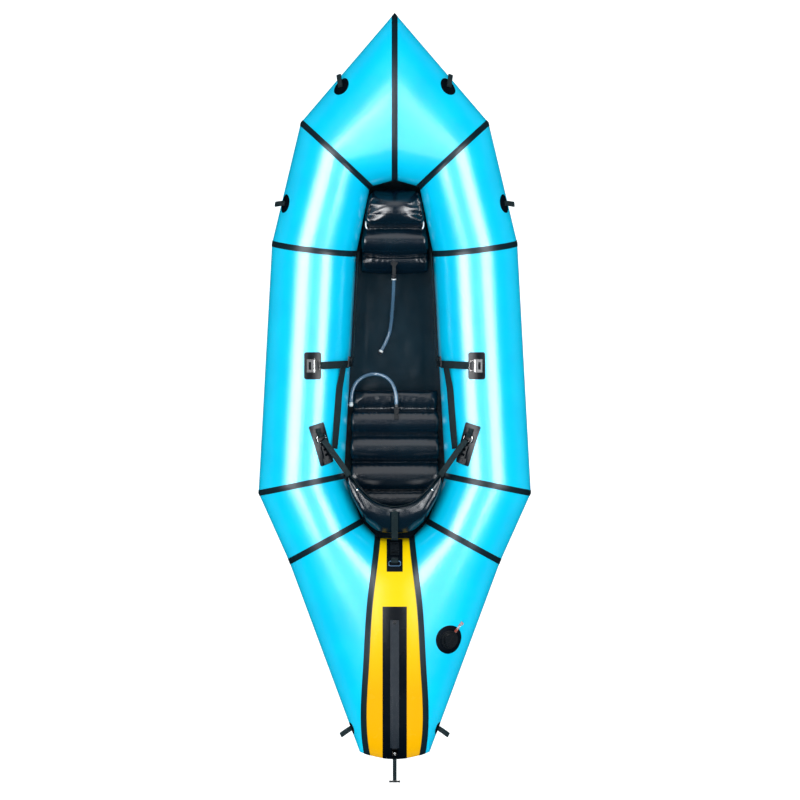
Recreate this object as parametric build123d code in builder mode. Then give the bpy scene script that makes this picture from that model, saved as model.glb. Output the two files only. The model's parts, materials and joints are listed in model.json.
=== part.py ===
from build123d import *
import math
import os

# An inflatable packraft-style kayak, millimetres. +Y points to the bow, +X to starboard, +Z up.
# The origin is on the underside of the floor sheet, halfway along the hull.
# The starboard half is drawn and mirrored, apart from the main valve and the two inflation hoses.

# ---- driving dimensions -----------------------------------------------------------------------
TUBE_R = 146.0  # radius of the main air tube amidships
FLOOR_T = 2.0  # floor sheet
FLOOR_GAP = 0.3  # between the floor sheet and the tube it is welded to
SKIN_T = 2.0  # tube fabric, drawn thicker than real
TAPE_T = 1.0  # weld tapes and glued patches
TAPE_W = 20.0
WEB_T = 2.4  # webbing
ROUND = 0.5523  # Bezier fullness that draws a quarter circle
REACH = 1400.0  # longer than half the hull

CENTRE_Z = FLOOR_T + FLOOR_GAP + TUBE_R

os.makedirs("parts", exist_ok=True)


def save(shape, name):
    """Writes one finished piece as its own node."""
    shape.label = name
    export_step(shape, f"parts/{name}.step")


def both_sides(shape):
    """A piece and its mirror image across the centre plane, as separate solids."""
    return Compound(children=[*shape.solids(), *shape.mirror(Plane.YZ).solids()])


# ---- ring sections of the air tube ------------------------------------------------------------
class Station:
    """A closed section of the tube: its plane, and how far it reaches outboard, inboard, up and down."""

    def __init__(self, centre, outboard, radii, up=(0, 0, 1), full=(ROUND, ROUND, ROUND, ROUND)):
        x_dir = Vector(*outboard).normalized()
        self.plane = Plane(origin=centre, x_dir=x_dir, z_dir=x_dir.cross(Vector(*up)))
        self.radii = radii
        self.full = full

    def mirrored(self):
        """The same section on the port side, turned the same way round."""
        twin = Station((0, 0, 0), (1, 0, 0), self.radii, full=self.full)
        origin, x_dir, y_dir = self.plane.origin, self.plane.x_dir, self.plane.y_dir
        x_twin = Vector(-x_dir.X, x_dir.Y, x_dir.Z)
        y_twin = Vector(-y_dir.X, y_dir.Y, y_dir.Z)
        twin.plane = Plane(
            origin=(-origin.X, origin.Y, origin.Z), x_dir=x_twin, z_dir=x_twin.cross(y_twin)
        )
        return twin


def quadrants(station, grow=0.0):
    """The section's outline as four Bezier quarters, grown outward by a distance."""
    outer, inner, top, bottom = (r + grow for r in station.radii)
    outer_flat, outer_steep, inner_flat, inner_steep = station.full
    corners = (
        ((outer, 0), (outer, outer_steep * top), (outer_flat * outer, top), (0, top)),
        ((0, top), (-inner_flat * inner, top), (-inner, inner_steep * top), (-inner, 0)),
        ((-inner, 0), (-inner, -inner_steep * bottom), (-inner_flat * inner, -bottom), (0, -bottom)),
        ((0, -bottom), (outer_flat * outer, -bottom), (outer, -outer_steep * bottom), (outer, 0)),
    )
    return [Bezier(*[station.plane.from_local_coords(Vector(*c)) for c in quarter]) for quarter in corners]


def ring(station, grow=0.0):
    """The section's face."""
    return Face(Wire(quadrants(station, grow)))


TILT_BOW = math.radians(7)
TILT_STERN = math.radians(3)
BOW = Station(
    (0, 858, 216),
    (0, math.cos(TILT_BOW), math.sin(TILT_BOW)),
    (407, 160, 142, 142),
    up=(0, -math.sin(TILT_BOW), math.cos(TILT_BOW)),
    full=(0.62, 0.55, 0.65, 0.6),
)
SHOULDER = Station((201, 784, 193), (117, 109, 0), (160, 160, 147, 147))
FRONT = Station((273, 468, CENTRE_Z), (143, 17, 0), (144, 144, TUBE_R, TUBE_R), up=(0, -10, 146))
REAR = Station((317, -334, CENTRE_Z), (145, -29.5, 0), (148, 148, TUBE_R, TUBE_R))
QUARTER = Station((234.5, -527, 160), (123.5, -68.3, 0), (141, 141, 143, 143))
DECK_EDGE = Station(
    (80.5, -790, 166),
    (61, -724, 22),
    (452, 276, 142, 140),
    full=(0.5, 0.52, 0.76, 0.58),
)
DECK_CENTRE = Station(
    (0, -790, 166),
    (0, -math.cos(TILT_STERN), math.sin(TILT_STERN)),
    (475, 274, 152, 141),
    up=(0, math.sin(TILT_STERN), math.cos(TILT_STERN)),
    full=(0.5, 0.5, 0.76, 0.58),
)


def tube(first, second, grow=0.0):
    """A straight stretch of tube between two stations, as a full solid with ruled sides."""
    sides = [
        Face.make_surface_from_curves(a, b)
        for a, b in zip(quadrants(first, grow), quadrants(second, grow))
    ]
    return Solid(Shell([*sides, ring(first, grow), ring(second, grow)]))


def stern(grow=0.0):
    """The stern from one quarter seam, across the deck, to the other, as a full solid."""
    flank = tube(QUARTER, DECK_EDGE, grow)
    with BuildPart() as volume:
        loft([ring(DECK_EDGE, grow), ring(DECK_CENTRE, grow), ring(DECK_EDGE.mirrored(), grow)])
        add(flank)
        add(flank.mirror(Plane.YZ))
    return volume.part


def upright(outline, low, high):
    """A vertical prism over a plan outline of corner points."""
    with BuildPart() as prism:
        with BuildSketch(Plane.XY.offset(low)):
            with BuildLine():
                Polyline(*outline, close=True)
            make_face()
        extrude(amount=high - low)
    return prism.part


def slab(station, thickness):
    """Everything within half a thickness of a station's plane, on its own side of the boat."""
    with BuildPart() as cut:
        with BuildSketch(station.plane):
            Rectangle(460, 500)
        extrude(amount=thickness / 2, both=True)
    return cut.part


def surface_plane(solid, x, y, heading=(0, 1, 0)):
    """The plane that lies on the top of a solid above or below (x, y), its x axis near a heading."""
    ray = Axis((x, y, 900), (0, 0, -1))
    hits = [hit for face in solid.faces() for hit in face.find_intersection_points(ray)]
    point, normal = max(hits, key=lambda hit: hit[0].Z)
    if normal.Z < 0:
        normal = normal * -1
    along = Vector(*heading) - normal * Vector(*heading).dot(normal)
    return Plane(origin=point, x_dir=along, z_dir=normal)


# ---- hull skin: panels welded edge to edge ----------------------------------------------------
bow_body = tube(BOW, SHOULDER)
shoulder_body = tube(SHOULDER, FRONT)
side_body = tube(FRONT, REAR)
quarter_body = tube(REAR, QUARTER)
stern_body = stern()

bow_skin = bow_body - tube(BOW, SHOULDER, -SKIN_T)
shoulder_skin = shoulder_body - tube(SHOULDER, FRONT, -SKIN_T)
side_skin = side_body - tube(FRONT, REAR, -SKIN_T)
quarter_skin = quarter_body - tube(REAR, QUARTER, -SKIN_T)
stern_skin = stern_body - stern(-SKIN_T)

# A film of tape thickness over each body: tapes and patches are cut from these, so they fit it.
bow_film = tube(BOW, SHOULDER, TAPE_T) - bow_body
shoulder_film = tube(SHOULDER, FRONT, TAPE_T) - shoulder_body
side_film = tube(FRONT, REAR, TAPE_T) - side_body
quarter_film = tube(REAR, QUARTER, TAPE_T) - quarter_body
stern_taped = stern(TAPE_T)
stern_film = stern_taped - stern_body

# ---- stern deck: a contrasting panel let into the top of the stern ----------------------------
DECK_LOW = 150.0  # the deck panel wraps down the stern end to this height
DECK_CURVE = ((56, -490), (66, -590), (84, -740), (97, -950), (105, -1110), (102, -1190), (84, -1290))


def deck_outline(shift):
    """The deck panel's plan prism, its long edges moved outboard by a distance."""
    edge = [(x + shift, y) for x, y in DECK_CURVE]
    with BuildPart() as prism:
        with BuildSketch(Plane.XY.offset(DECK_LOW)):
            with BuildLine():
                Spline(*edge)
                Spline(*[(-x, y) for x, y in edge])
                Line(edge[0], (-edge[0][0], edge[0][1]))
                Line(edge[-1], (-edge[-1][0], edge[-1][1]))
            make_face()
        extrude(amount=300)
    return prism.part


deck_prism = deck_outline(0)
stern_deck_panel = stern_skin & deck_prism
stern_sides = stern_skin - deck_prism
with BuildPart() as starboard_half:
    with BuildSketch(Plane.XY.offset(-10)):
        Rectangle(600, 2 * REACH, align=(Align.MIN, Align.CENTER))
    extrude(amount=500)
stern_panel_right = stern_sides & starboard_half.part

# ---- floor sheet ------------------------------------------------------------------------------
# Underside heights along the length follow the rise of the tube at bow and stern.
FLOOR_PROFILE = ((900, 66), (784, 43.5), (468, -0.0), (-334, -0.0), (-527, 14.2), (-900, 22.5))
FLOOR_PLAN = ((0, 884), (66, 858), (186, 778), (262, 466), (306, -334), (228, -525), (104, -756), (62, -874))
with BuildPart() as floor:
    with BuildSketch(Plane.YZ):
        with BuildLine():
            Polyline(*FLOOR_PROFILE, *[(y, z + FLOOR_T) for y, z in reversed(FLOOR_PROFILE)], close=True)
        make_face()
    extrude(amount=400, both=True)
    with BuildSketch(Plane.XY.offset(-10)):
        with BuildLine():
            Polyline(*FLOOR_PLAN, *[(-x, y) for x, y in reversed(FLOOR_PLAN[1:])], close=True)
        make_face()
    extrude(amount=200, mode=Mode.INTERSECT)

with BuildPart() as floor_room:
    with BuildSketch(Plane.YZ):
        with BuildLine():
            above_floor = [(y, z + FLOOR_T + 6) for y, z in FLOOR_PROFILE]
            Polyline((1000, -20), *above_floor, (-1000, -20), close=True)
        make_face()
    extrude(amount=500, both=True)

# ---- weld tapes -------------------------------------------------------------------------------
with BuildPart() as centre_slab:
    Box(TAPE_W, 2 * REACH, 900)


def seam_tape(station, before, after):
    """The tape ring that covers the seam at a station, open where the floor is welded on."""
    band = slab(station, TAPE_W)
    return (before & band) + (after & band) - floor_room.part


bow_seam_tape = (bow_film & centre_slab.part) + (bow_film & centre_slab.part).mirror(Plane.YZ)
bow_seam_tape = bow_seam_tape - floor_room.part
shoulder_seam = seam_tape(SHOULDER, bow_film, shoulder_film)
shoulder_seam = shoulder_seam - centre_slab.part
front_seam = seam_tape(FRONT, shoulder_film, side_film)
rear_seam = seam_tape(REAR, side_film, quarter_film)
deck_tape = (stern_film & deck_outline(TAPE_W / 2)) - deck_outline(-TAPE_W / 2)
quarter_band = slab(QUARTER, TAPE_W) & starboard_half.part
quarter_seam = (quarter_film & quarter_band) + (stern_film & quarter_band)
quarter_seam = quarter_seam - floor_room.part - deck_outline(TAPE_W / 2 + 1)

save(bow_skin, "bow_panel_right")
save(bow_skin.mirror(Plane.YZ), "bow_panel_left")
save(shoulder_skin, "shoulder_panel_right")
save(shoulder_skin.mirror(Plane.YZ), "shoulder_panel_left")
save(side_skin, "side_panel_right")
save(side_skin.mirror(Plane.YZ), "side_panel_left")
save(quarter_skin, "quarter_panel_right")
save(quarter_skin.mirror(Plane.YZ), "quarter_panel_left")
save(stern_panel_right, "stern_panel_right")
save(stern_panel_right.mirror(Plane.YZ), "stern_panel_left")
save(stern_deck_panel, "stern_deck_panel")
save(floor.part, "floor_sheet")
save(bow_seam_tape, "bow_seam_tape")
save(both_sides(shoulder_seam), "shoulder_seam_tapes")
save(both_sides(front_seam), "front_seam_tapes")
save(both_sides(rear_seam), "rear_seam_tapes")
save(both_sides(quarter_seam), "quarter_seam_tapes")
save(deck_tape, "deck_seam_tapes")


# ---- glued patches ----------------------------------------------------------------------------
def patch_on(film, fit, length, width, corner=8.0):
    """A glued patch that follows the tube: a rounded rectangle of film, squared to a surface plane."""
    with BuildPart() as cutter:
        with BuildSketch(fit.offset(-40)):
            RectangleRounded(length, width, corner)
        extrude(amount=60)
    return film & cutter.part


def round_patch_on(film, fit, diameter):
    """A round glued patch."""
    with BuildPart() as cutter:
        with BuildSketch(fit.offset(-40)):
            Circle(diameter / 2)
        extrude(amount=60)
    return film & cutter.part


# ---- tie-down points --------------------------------------------------------------------------
TIE_PATCH = 64.0
STERN_TIE_PATCH = 44.0
LOOP_LENGTH = 40.0
LOOP_WIDTH = 17.0
LOOP_HEIGHT = 5.6
LOOP_T = 1.9
LOOP_LIFT = 5.0  # of the root's middle over its patch
LOOP_LEAN = 20.0
STERN_LOOP_LEAN = 60.0


def tie_loop_at(fit, lean):
    """The loop placed on a surface plane, tipped up by a lean angle about its own root."""
    with BuildPart() as loop:
        with BuildSketch(Plane.XZ):
            with Locations((LOOP_LENGTH / 2, 0)):
                SlotOverall(LOOP_LENGTH, LOOP_HEIGHT)
                SlotOverall(LOOP_LENGTH - 2 * LOOP_T, LOOP_HEIGHT - 2 * LOOP_T, mode=Mode.SUBTRACT)
        extrude(amount=LOOP_WIDTH / 2, both=True)
    return fit.location * Pos(0, 0, TAPE_T + LOOP_LIFT) * Rot(0, -lean, 0) * loop.part


bow_tie_fit = surface_plane(bow_body, 181, 1013, heading=(0.35, 1, 0))
side_tie_fit = surface_plane(shoulder_body, 372, 618, heading=(1, -0.1, -1))
stern_tie_fit = surface_plane(stern_body, 146, -1160, heading=(0, -0.6, -1))
bow_tie_patch = round_patch_on(bow_film, bow_tie_fit, TIE_PATCH)
side_tie_patch = round_patch_on(shoulder_film, side_tie_fit, TIE_PATCH)
stern_tie_patch = round_patch_on(stern_film, stern_tie_fit, STERN_TIE_PATCH)
tie_patches = Compound(children=[
    *both_sides(bow_tie_patch).solids(),
    *both_sides(side_tie_patch).solids(),
    *both_sides(stern_tie_patch).solids(),
])
tie_loops = Compound(children=[
    *both_sides(tie_loop_at(bow_tie_fit, LOOP_LEAN)).solids(),
    *both_sides(tie_loop_at(side_tie_fit, LOOP_LEAN)).solids(),
    *both_sides(tie_loop_at(stern_tie_fit, STERN_LOOP_LEAN)).solids(),
])
save(tie_patches, "tie_down_patches")
save(tie_loops, "tie_down_loops")

# ---- cargo zipper -----------------------------------------------------------------------------
ZIP_PATCH_FRONT = -746.0
ZIP_PATCH_HALF = 41.0
ZIP_PATCH_LOW = 178.0  # the patch wraps down the stern end to this height
TRACK_FRONT = -792.0
TRACK_BACK = -1226.0
TRACK_HALF = 15.0
TRACK_T = 2.5
# The slider follows a circle about a cross-hull axis, which stays within a few millimetres of the deck.
ZIP_CENTRE = (-1026.4, -46.4)
ZIP_R = 350.0
ZIP_REST = (-1236.0, 233.9)
SLIDER_LOW = ZIP_R + TAPE_T + TRACK_T + 0.5
SLIDER_T = 4.0
SLIDER_W = 18.0
SLIDER_SPAN = 2.2  # half its length, in degrees about the axis
EAR_R = 4.4
EAR_BORE_R = 2.0
EAR_GAP = 7.0
EAR_AT = (-8.0, SLIDER_T + 3.5)  # along the deck and off it, from the slider's middle
PULL_DROP = 24.0
PULL_LENGTH = 98.0
PULL_W = 13.0
PULL_T = 2.6
BAR_R = 4.0
BAR_LENGTH = 38.0


def deck_strip(half, front, back, low):
    """A vertical prism along the deck, centred on the hull."""
    return upright(((-half, front), (half, front), (half, back), (-half, back)), low, 400)


zipper_patch = stern_film & deck_strip(ZIP_PATCH_HALF, ZIP_PATCH_FRONT, -1300, ZIP_PATCH_LOW)
track_film = stern(TAPE_T + TRACK_T) - stern_taped
zipper_track = track_film & deck_strip(TRACK_HALF, TRACK_FRONT, TRACK_BACK, 200)
rest_angle = math.degrees(math.atan2(ZIP_REST[1] - ZIP_CENTRE[1], ZIP_REST[0] - ZIP_CENTRE[0]))


def on_zip_circle(radius, angle):
    """The (y, z) point at a radius and an angle in degrees about the zipper's axis."""
    turn = math.radians(angle)
    return ZIP_CENTRE[0] + radius * math.cos(turn), ZIP_CENTRE[1] + radius * math.sin(turn)


def arc_block(inner, outer, half_span, width):
    """A block bent about the zipper's axis, centred on the slider's resting angle."""
    with BuildPart() as block:
        with BuildSketch(Plane.YZ):
            with Locations(ZIP_CENTRE):
                Circle(outer)
                Circle(inner, mode=Mode.SUBTRACT)
            with BuildLine():
                Polyline(
                    ZIP_CENTRE,
                    on_zip_circle(2 * outer, rest_angle - half_span),
                    on_zip_circle(2 * outer, rest_angle + half_span),
                    close=True,
                )
            make_face(mode=Mode.INTERSECT)
        extrude(amount=width / 2, both=True)
    return block.part


slider_off = Vector(0, math.cos(math.radians(rest_angle)), math.sin(math.radians(rest_angle)))
slider_frame = Plane(origin=(0, *on_zip_circle(SLIDER_LOW, rest_angle)), x_dir=(1, 0, 0), z_dir=slider_off)
# In the slider's own frame x is across the hull, y runs forward up the deck and z is off the deck.
with BuildPart() as slider_ears:
    with Locations((0, *EAR_AT)):
        Cylinder(EAR_R, EAR_GAP + 8, rotation=(0, 90, 0))
        Cylinder(EAR_BORE_R, 30, rotation=(0, 90, 0), mode=Mode.SUBTRACT)
        Box(EAR_GAP, 20, 20, mode=Mode.SUBTRACT)
slider_block = arc_block(SLIDER_LOW, SLIDER_LOW + SLIDER_T, SLIDER_SPAN, SLIDER_W)
under_slider = arc_block(ZIP_R - 60, SLIDER_LOW + 0.5, 9, 80)
zipper_slider = slider_block + (slider_frame.location * slider_ears.part - under_slider)

pull_pivot = slider_frame.from_local_coords(Vector(0, *EAR_AT))
pull_off = Vector(0, -math.sin(math.radians(PULL_DROP)), math.cos(math.radians(PULL_DROP)))
pull_frame = Plane(origin=pull_pivot, x_dir=(1, 0, 0), z_dir=pull_off)
with BuildPart() as zipper_pull:
    Cylinder(3.2, EAR_GAP - 1, rotation=(0, 90, 0))
    Cylinder(EAR_BORE_R - 0.4, 20, rotation=(0, 90, 0))
    with Locations((0, -10, 0)):
        Box(5, 18, 2.4)
    with Locations((0, -10 - PULL_LENGTH / 2, 0)):
        Box(PULL_W, PULL_LENGTH - 18, PULL_T)
    with Locations((0, -PULL_LENGTH - 2, 0)):
        Cylinder(BAR_R, BAR_LENGTH, rotation=(0, 90, 0))
save(zipper_patch, "zipper_patch")
save(zipper_track, "zipper_track")
save(zipper_slider, "zipper_slider")
save(pull_frame.location * zipper_pull.part, "zipper_pull")

# ---- D-rings and the webbing loops that hold them ---------------------------------------------
WIRE_R = 1.6
RING_CORNER = 6.4
KEEPER_T = 1.4
POST_T = 1.6


def wire_ring(near, far, half_width, corner, radius, height):
    """A rounded loop of round wire in a fitting frame, between two x positions, its centre at a height."""
    corners = ((near, -half_width), (far, -half_width), (far, half_width), (near, half_width))
    with BuildPart() as wire:
        with BuildLine() as path:
            FilletPolyline(*[(x, y, height) for x, y in corners], radius=corner, close=True)
        with BuildSketch(path.line ^ 0):
            Circle(radius)
        sweep(path=path.line)
    return wire.part


def keeper_loop(middle, gap, width, foot_middle, foot_length, top, top_length):
    """A flattened webbing loop: a foot on its patch, two posts a gap apart and a top over them."""
    with BuildPart() as loop:
        with Locations((foot_middle, 0, TAPE_T + 1.0)):
            Box(foot_length, width, KEEPER_T)
        with Locations((middle, 0, top)):
            Box(top_length, width, POST_T)
        with Locations((middle - gap / 2, 0, top / 2 + 1), (middle + gap / 2, 0, top / 2 + 1)):
            Box(POST_T, width, top - 1)
    return loop.part


# ---- backrest buckle and ring on the stern deck -----------------------------------------------
DECK_PATCH_HALF = 27.0
DECK_PATCH_SPAN = (-519.0, -628.0)
BUCKLE_W = 30.0
BUCKLE_MIDDLE = 7.7  # of the buckle's thickness, over the deck
SOCKET_MIDDLE = -21.0
SOCKET_LENGTH = 36.0
SOCKET_T = 9.0
PLUG_MIDDLE = 6.0
PLUG_LENGTH = 17.0
PLUG_T = 8.0
PRONG_T = 3.6
DECK_RING_SPAN = (-16.9, 0.9)
DECK_RING_HALF = 19.9
DECK_RING_HEIGHT = 6.0
deck_patch = stern_film & deck_strip(DECK_PATCH_HALF, *DECK_PATCH_SPAN, 170)
buckle_fit = surface_plane(stern_body, 0, -548, heading=(0, 1, 0))
ring_fit = surface_plane(stern_body, 0, -596, heading=(0, 1, 0))
# In these frames x runs forward along the deck, y across it and z off it.
with BuildPart() as socket:
    with Locations((SOCKET_MIDDLE, 0, BUCKLE_MIDDLE)):
        Box(SOCKET_LENGTH, BUCKLE_W, SOCKET_T)
        with Locations((4, 0, 0)):
            Box(30, 24, 5, mode=Mode.SUBTRACT)
    with Locations((SOCKET_MIDDLE - 13, 0, BUCKLE_MIDDLE)):
        Box(5, 22, 12, mode=Mode.SUBTRACT)
with BuildPart() as plug:
    with Locations((PLUG_MIDDLE, 0, BUCKLE_MIDDLE)):
        Box(PLUG_LENGTH, BUCKLE_W, PLUG_T)
        with Locations((2, 0, 0)):
            Box(6, 24, 12, mode=Mode.SUBTRACT)
    with Locations((-9, 8.5, BUCKLE_MIDDLE), (-9, -8.5, BUCKLE_MIDDLE)):
        Box(17, 4, PRONG_T)
    with Locations((-10, 0, BUCKLE_MIDDLE)):
        Box(18, 5, PRONG_T)
deck_ring = wire_ring(*DECK_RING_SPAN, DECK_RING_HALF, RING_CORNER, WIRE_R, DECK_RING_HEIGHT)
ring_keeper = keeper_loop(0.8, 14.4, 24, 0, 26, 9.6, 16)
save(deck_patch, "deck_buckle_patch")
save(buckle_fit.location * socket.part, "buckle_socket")
save(buckle_fit.location * plug.part, "buckle_plug")
save(ring_fit.location * deck_ring, "deck_ring")
save(ring_fit.location * ring_keeper, "ring_keeper")

# ---- main valve -------------------------------------------------------------------------------
VALVE_PATCH = 98.0
FLANGE_R = 31.0
NECK_R = 22.0
NECK_TOP = 10.5
BORE_R = 16.5
CAP_LOW = 10.9
CAP_T = 5.0
HINGE_AT = (-NECK_R - 2, 7.5)  # outward from the valve's axis, and height
HINGE_R = 3.2
PIN_R = 1.5
HINGE_W = 14.0
ARM_AT = 8.9  # cap arms, to each side of the hinge barrel
ARM_T = 3.0
TAG_MIDDLE = 52.0
TAG_LENGTH = 42.0
valve_fit = surface_plane(stern_body, 185, -858, heading=(0.62, 0.72, 0))
valve_patch = round_patch_on(stern_film, valve_fit, VALVE_PATCH)
with BuildPart() as valve_blank:
    with Locations((0, 0, 1.5)):
        Cylinder(FLANGE_R, 6)
    with Locations((0, 0, NECK_TOP - 4)):
        Cylinder(NECK_R, 8)
    with Locations((0, 0, 10)):
        Cylinder(BORE_R, 16, mode=Mode.SUBTRACT)
    with Locations((-NECK_R - 0.5, 0, 5.5)):
        Box(6, HINGE_W, 4)
    with Locations((HINGE_AT[0], 0, HINGE_AT[1])):
        Cylinder(HINGE_R, HINGE_W, rotation=(90, 0, 0))
        Cylinder(PIN_R + 0.4, 30, rotation=(90, 0, 0), mode=Mode.SUBTRACT)
valve_body = valve_fit.location * valve_blank.part - stern_taped
with BuildPart() as valve_insert:
    with Locations((0, 0, 5.5)):
        Cylinder(BORE_R - 0.4, 2.5)
        with PolarLocations(9.5, 4):
            Cylinder(4.2, 6, mode=Mode.SUBTRACT)
    with Locations((0, 0, 6)):
        Cylinder(3.0, 5)
with BuildPart() as valve_cap:
    with Locations((0, 0, CAP_LOW + CAP_T / 2)):
        Cylinder(NECK_R + 1, CAP_T)
    with Locations((0, 0, CAP_LOW + 6.0)):
        Box(30, 7, 4)
    with Locations((HINGE_AT[0], 0, HINGE_AT[1])):
        Cylinder(PIN_R, 2 * ARM_AT + 2.2, rotation=(90, 0, 0))
    with Locations((HINGE_AT[0], ARM_AT, 9.8), (HINGE_AT[0], -ARM_AT, 9.8)):
        Box(3.4, ARM_T, 6.4)
    with Locations((-NECK_R + 2, ARM_AT, CAP_LOW + 2.5), (-NECK_R + 2, -ARM_AT, CAP_LOW + 2.5)):
        Box(8, ARM_T, 3)
with BuildPart() as valve_tag:
    with Locations((TAG_MIDDLE, 0, 1.9)):
        Box(TAG_LENGTH, 9, 1.2)
    with Locations((TAG_MIDDLE + 17, 0, 4.0)):
        Box(10, 11, 3)
save(valve_patch, "valve_patch")
save(valve_body, "valve_body")
save(valve_fit.location * valve_insert.part, "valve_insert")
save(valve_fit.location * valve_cap.part, "valve_cap")
save((valve_fit.location * valve_tag.part) - stern_taped, "valve_tag")

# ---- thigh-strap rigging: patches, metal quick-release buckles, straps ------------------------
# In the fitting frames x runs forward, y inboard and z off the tube.
THIGH_PATCH = (92.0, 58.0)
PLATE = (44.0, 30.0, 2.4)
PLATE_LOW = TAPE_T + 0.4
CHEEK_AT = 20.6
PIVOT_AT = (4.0, PLATE_LOW + 7)  # inboard of the fitting's centre, and height
PIVOT_R = 1.7
LEVER_T = 3.2
thigh_fit = surface_plane(side_body, 277, 68, heading=(0, 1, 0))
thigh_patch = patch_on(side_film, thigh_fit, *THIGH_PATCH)
with BuildPart() as release_buckle:
    with Locations((0, -6, PLATE_LOW + PLATE[2] / 2)):
        Box(*PLATE)
        with Locations((0, -4, 0)):
            Box(26, 9, 6, mode=Mode.SUBTRACT)
    with Locations((CHEEK_AT, 0, PLATE_LOW + 5), (-CHEEK_AT, 0, PLATE_LOW + 5)):
        Box(2.8, 18, 10)
    with Locations((0, *PIVOT_AT)):
        Cylinder(PIVOT_R + 0.4, 60, rotation=(0, 90, 0), mode=Mode.SUBTRACT)
    with Locations((0, -18, PLATE_LOW + 4)):
        Box(40, 3, 8)
with BuildPart() as release_lever:
    with Locations((0, *PIVOT_AT)):
        Cylinder(PIVOT_R, 2 * CHEEK_AT + 4.8, rotation=(0, 90, 0))
    with BuildSketch(Plane.XY.offset(PIVOT_AT[1] - LEVER_T / 2)):
        with Locations((0, PIVOT_AT[0] + 9.5)):
            RectangleRounded(36, 21, 7)
            RectangleRounded(29.6, 14.6, 4, mode=Mode.SUBTRACT)
    extrude(amount=LEVER_T)
save(both_sides(thigh_patch), "thigh_patches")
for part, name in ((release_buckle.part, "release_buckle"), (release_lever.part, "release_lever")):
    placed = thigh_fit.location * part
    save(placed, f"{name}_right")
    save(placed.mirror(Plane.YZ), f"{name}_left")

STRAP_R = 152.5  # inner face of straps bent over the side tube
SHORT_STRAP_W = 26.0
SHORT_STRAP_LEANS = (17.0, 52.0)
ADJUSTER = (36.0, 26.0, 5.0)
ADJUST_LEAN = 63.0
ADJUST_R = 161.0
side_run = Vector(273, 468, 0) - Vector(317, -334, 0)
SIDE_AHEAD = side_run.normalized()


def side_plane(y):
    """A plane square to the side tube, centred on its axis: x inboard, y up, z toward the bow."""
    x = 273 - side_run.X * (y - 468) / -side_run.Y
    return Plane(origin=(x, y, CENTRE_Z), x_dir=(-1, 0, 0), z_dir=SIDE_AHEAD)


def leaning(radius, lean):
    """The point on a side plane at a radius and a lean from upright, toward inboard."""
    return radius * math.sin(math.radians(lean)), radius * math.cos(math.radians(lean))


def tube_strap(radius, thickness, leans, width, y):
    """Webbing bent over the side tube between two leans, square to the tube."""
    with BuildPart() as strap:
        with BuildSketch(side_plane(y)):
            Circle(radius + thickness)
            Circle(radius, mode=Mode.SUBTRACT)
            with BuildLine():
                Polyline((0, 0), leaning(2 * radius, leans[0]), leaning(2 * radius, leans[1]), close=True)
            make_face(mode=Mode.INTERSECT)
        extrude(amount=width / 2, both=True)
    return strap.part


def side_location(y, lean, radius):
    """A frame on the side tube: x forward along it, y across its skin going down inboard, z off it."""
    hub = side_plane(y)
    inboard, above = leaning(1.0, lean)
    off = hub.x_dir * inboard + hub.y_dir * above
    return Plane(origin=hub.origin + off * radius, x_dir=SIDE_AHEAD, z_dir=off).location


def flat_strap(start, end, off, width):
    """Straight webbing between two points, its flat face toward a direction."""
    along = Vector(*end) - Vector(*start)
    face = Vector(*off) - along.normalized() * Vector(*off).dot(along.normalized())
    frame = Plane(origin=(Vector(*start) + Vector(*end)) * 0.5, x_dir=along, z_dir=face)
    with BuildPart() as strap:
        Box(along.length, width, WEB_T)
    return frame.location * strap.part


release_strap = tube_strap(STRAP_R, WEB_T, SHORT_STRAP_LEANS, SHORT_STRAP_W, 66)
with BuildPart() as adjuster:
    Box(*ADJUSTER)
    with Locations((0, -6.5, 0), (0, 6.5, 0)):
        Box(28, 6.5, 8, mode=Mode.SUBTRACT)
thigh_strap = flat_strap((183, 38, 248.6), (203, -212, 259.5), (-0.72, 0, 0.69), 21)
front_webbing = flat_strap((140, 86, 190), (124, 452, 184), (-1, -0.04, 0), 20)
save(both_sides(release_strap), "release_straps")
save(both_sides(side_location(90, ADJUST_LEAN, ADJUST_R) * adjuster.part), "thigh_adjusters")
save(both_sides(thigh_strap), "thigh_straps")
save(both_sides(front_webbing), "thigh_webbing")

# ---- rear anchors: D-rings, buckles and the straps to the backrest ----------------------------
ANCHOR_TURN = 20.0  # the patches' forward ends lie farther outboard
ANCHOR_PATCH = (142.0, 55.0)
ANCHOR_RING_SPAN = (8.1, 31.9)
ANCHOR_RING_HALF = 15.4
ANCHOR_RING_HEIGHT = 5.8
REAR_BUCKLE = (44.0, 22.0, 6.0)
REAR_BUCKLE_MIDDLE = (-27.0, 3.0, 5.2)
REAR_TAB = (20.0, 34.0, 2.2)
anchor_heading = (math.sin(math.radians(ANCHOR_TURN)), math.cos(math.radians(ANCHOR_TURN)), 0)
anchor_fit = surface_plane(side_body, 245.4, -197.4, heading=anchor_heading)
anchor_patch = patch_on(side_film, anchor_fit, *ANCHOR_PATCH, corner=6)
anchor_keeper = keeper_loop(32, 16, 17, 40, 34, 9.4, 18)
anchor_ring = wire_ring(*ANCHOR_RING_SPAN, ANCHOR_RING_HALF, RING_CORNER, WIRE_R, ANCHOR_RING_HEIGHT)
with BuildPart() as rear_buckle:
    with Locations(REAR_BUCKLE_MIDDLE):
        Box(*REAR_BUCKLE)
        with Locations((8, 0, 0), (-10, 0, 0)):
            Box(9, 15, 9, mode=Mode.SUBTRACT)
    with Locations((-58, 3, 3.6)):
        Box(*REAR_TAB)
side_strap = flat_strap((222, -204, 290), (168, -283, 286), (-0.1, 0, 1), 20)
save(both_sides(anchor_patch), "anchor_patches")
save(both_sides(anchor_fit.location * anchor_keeper), "anchor_keepers")
save(anchor_fit.location * anchor_ring, "anchor_ring_right")
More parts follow.
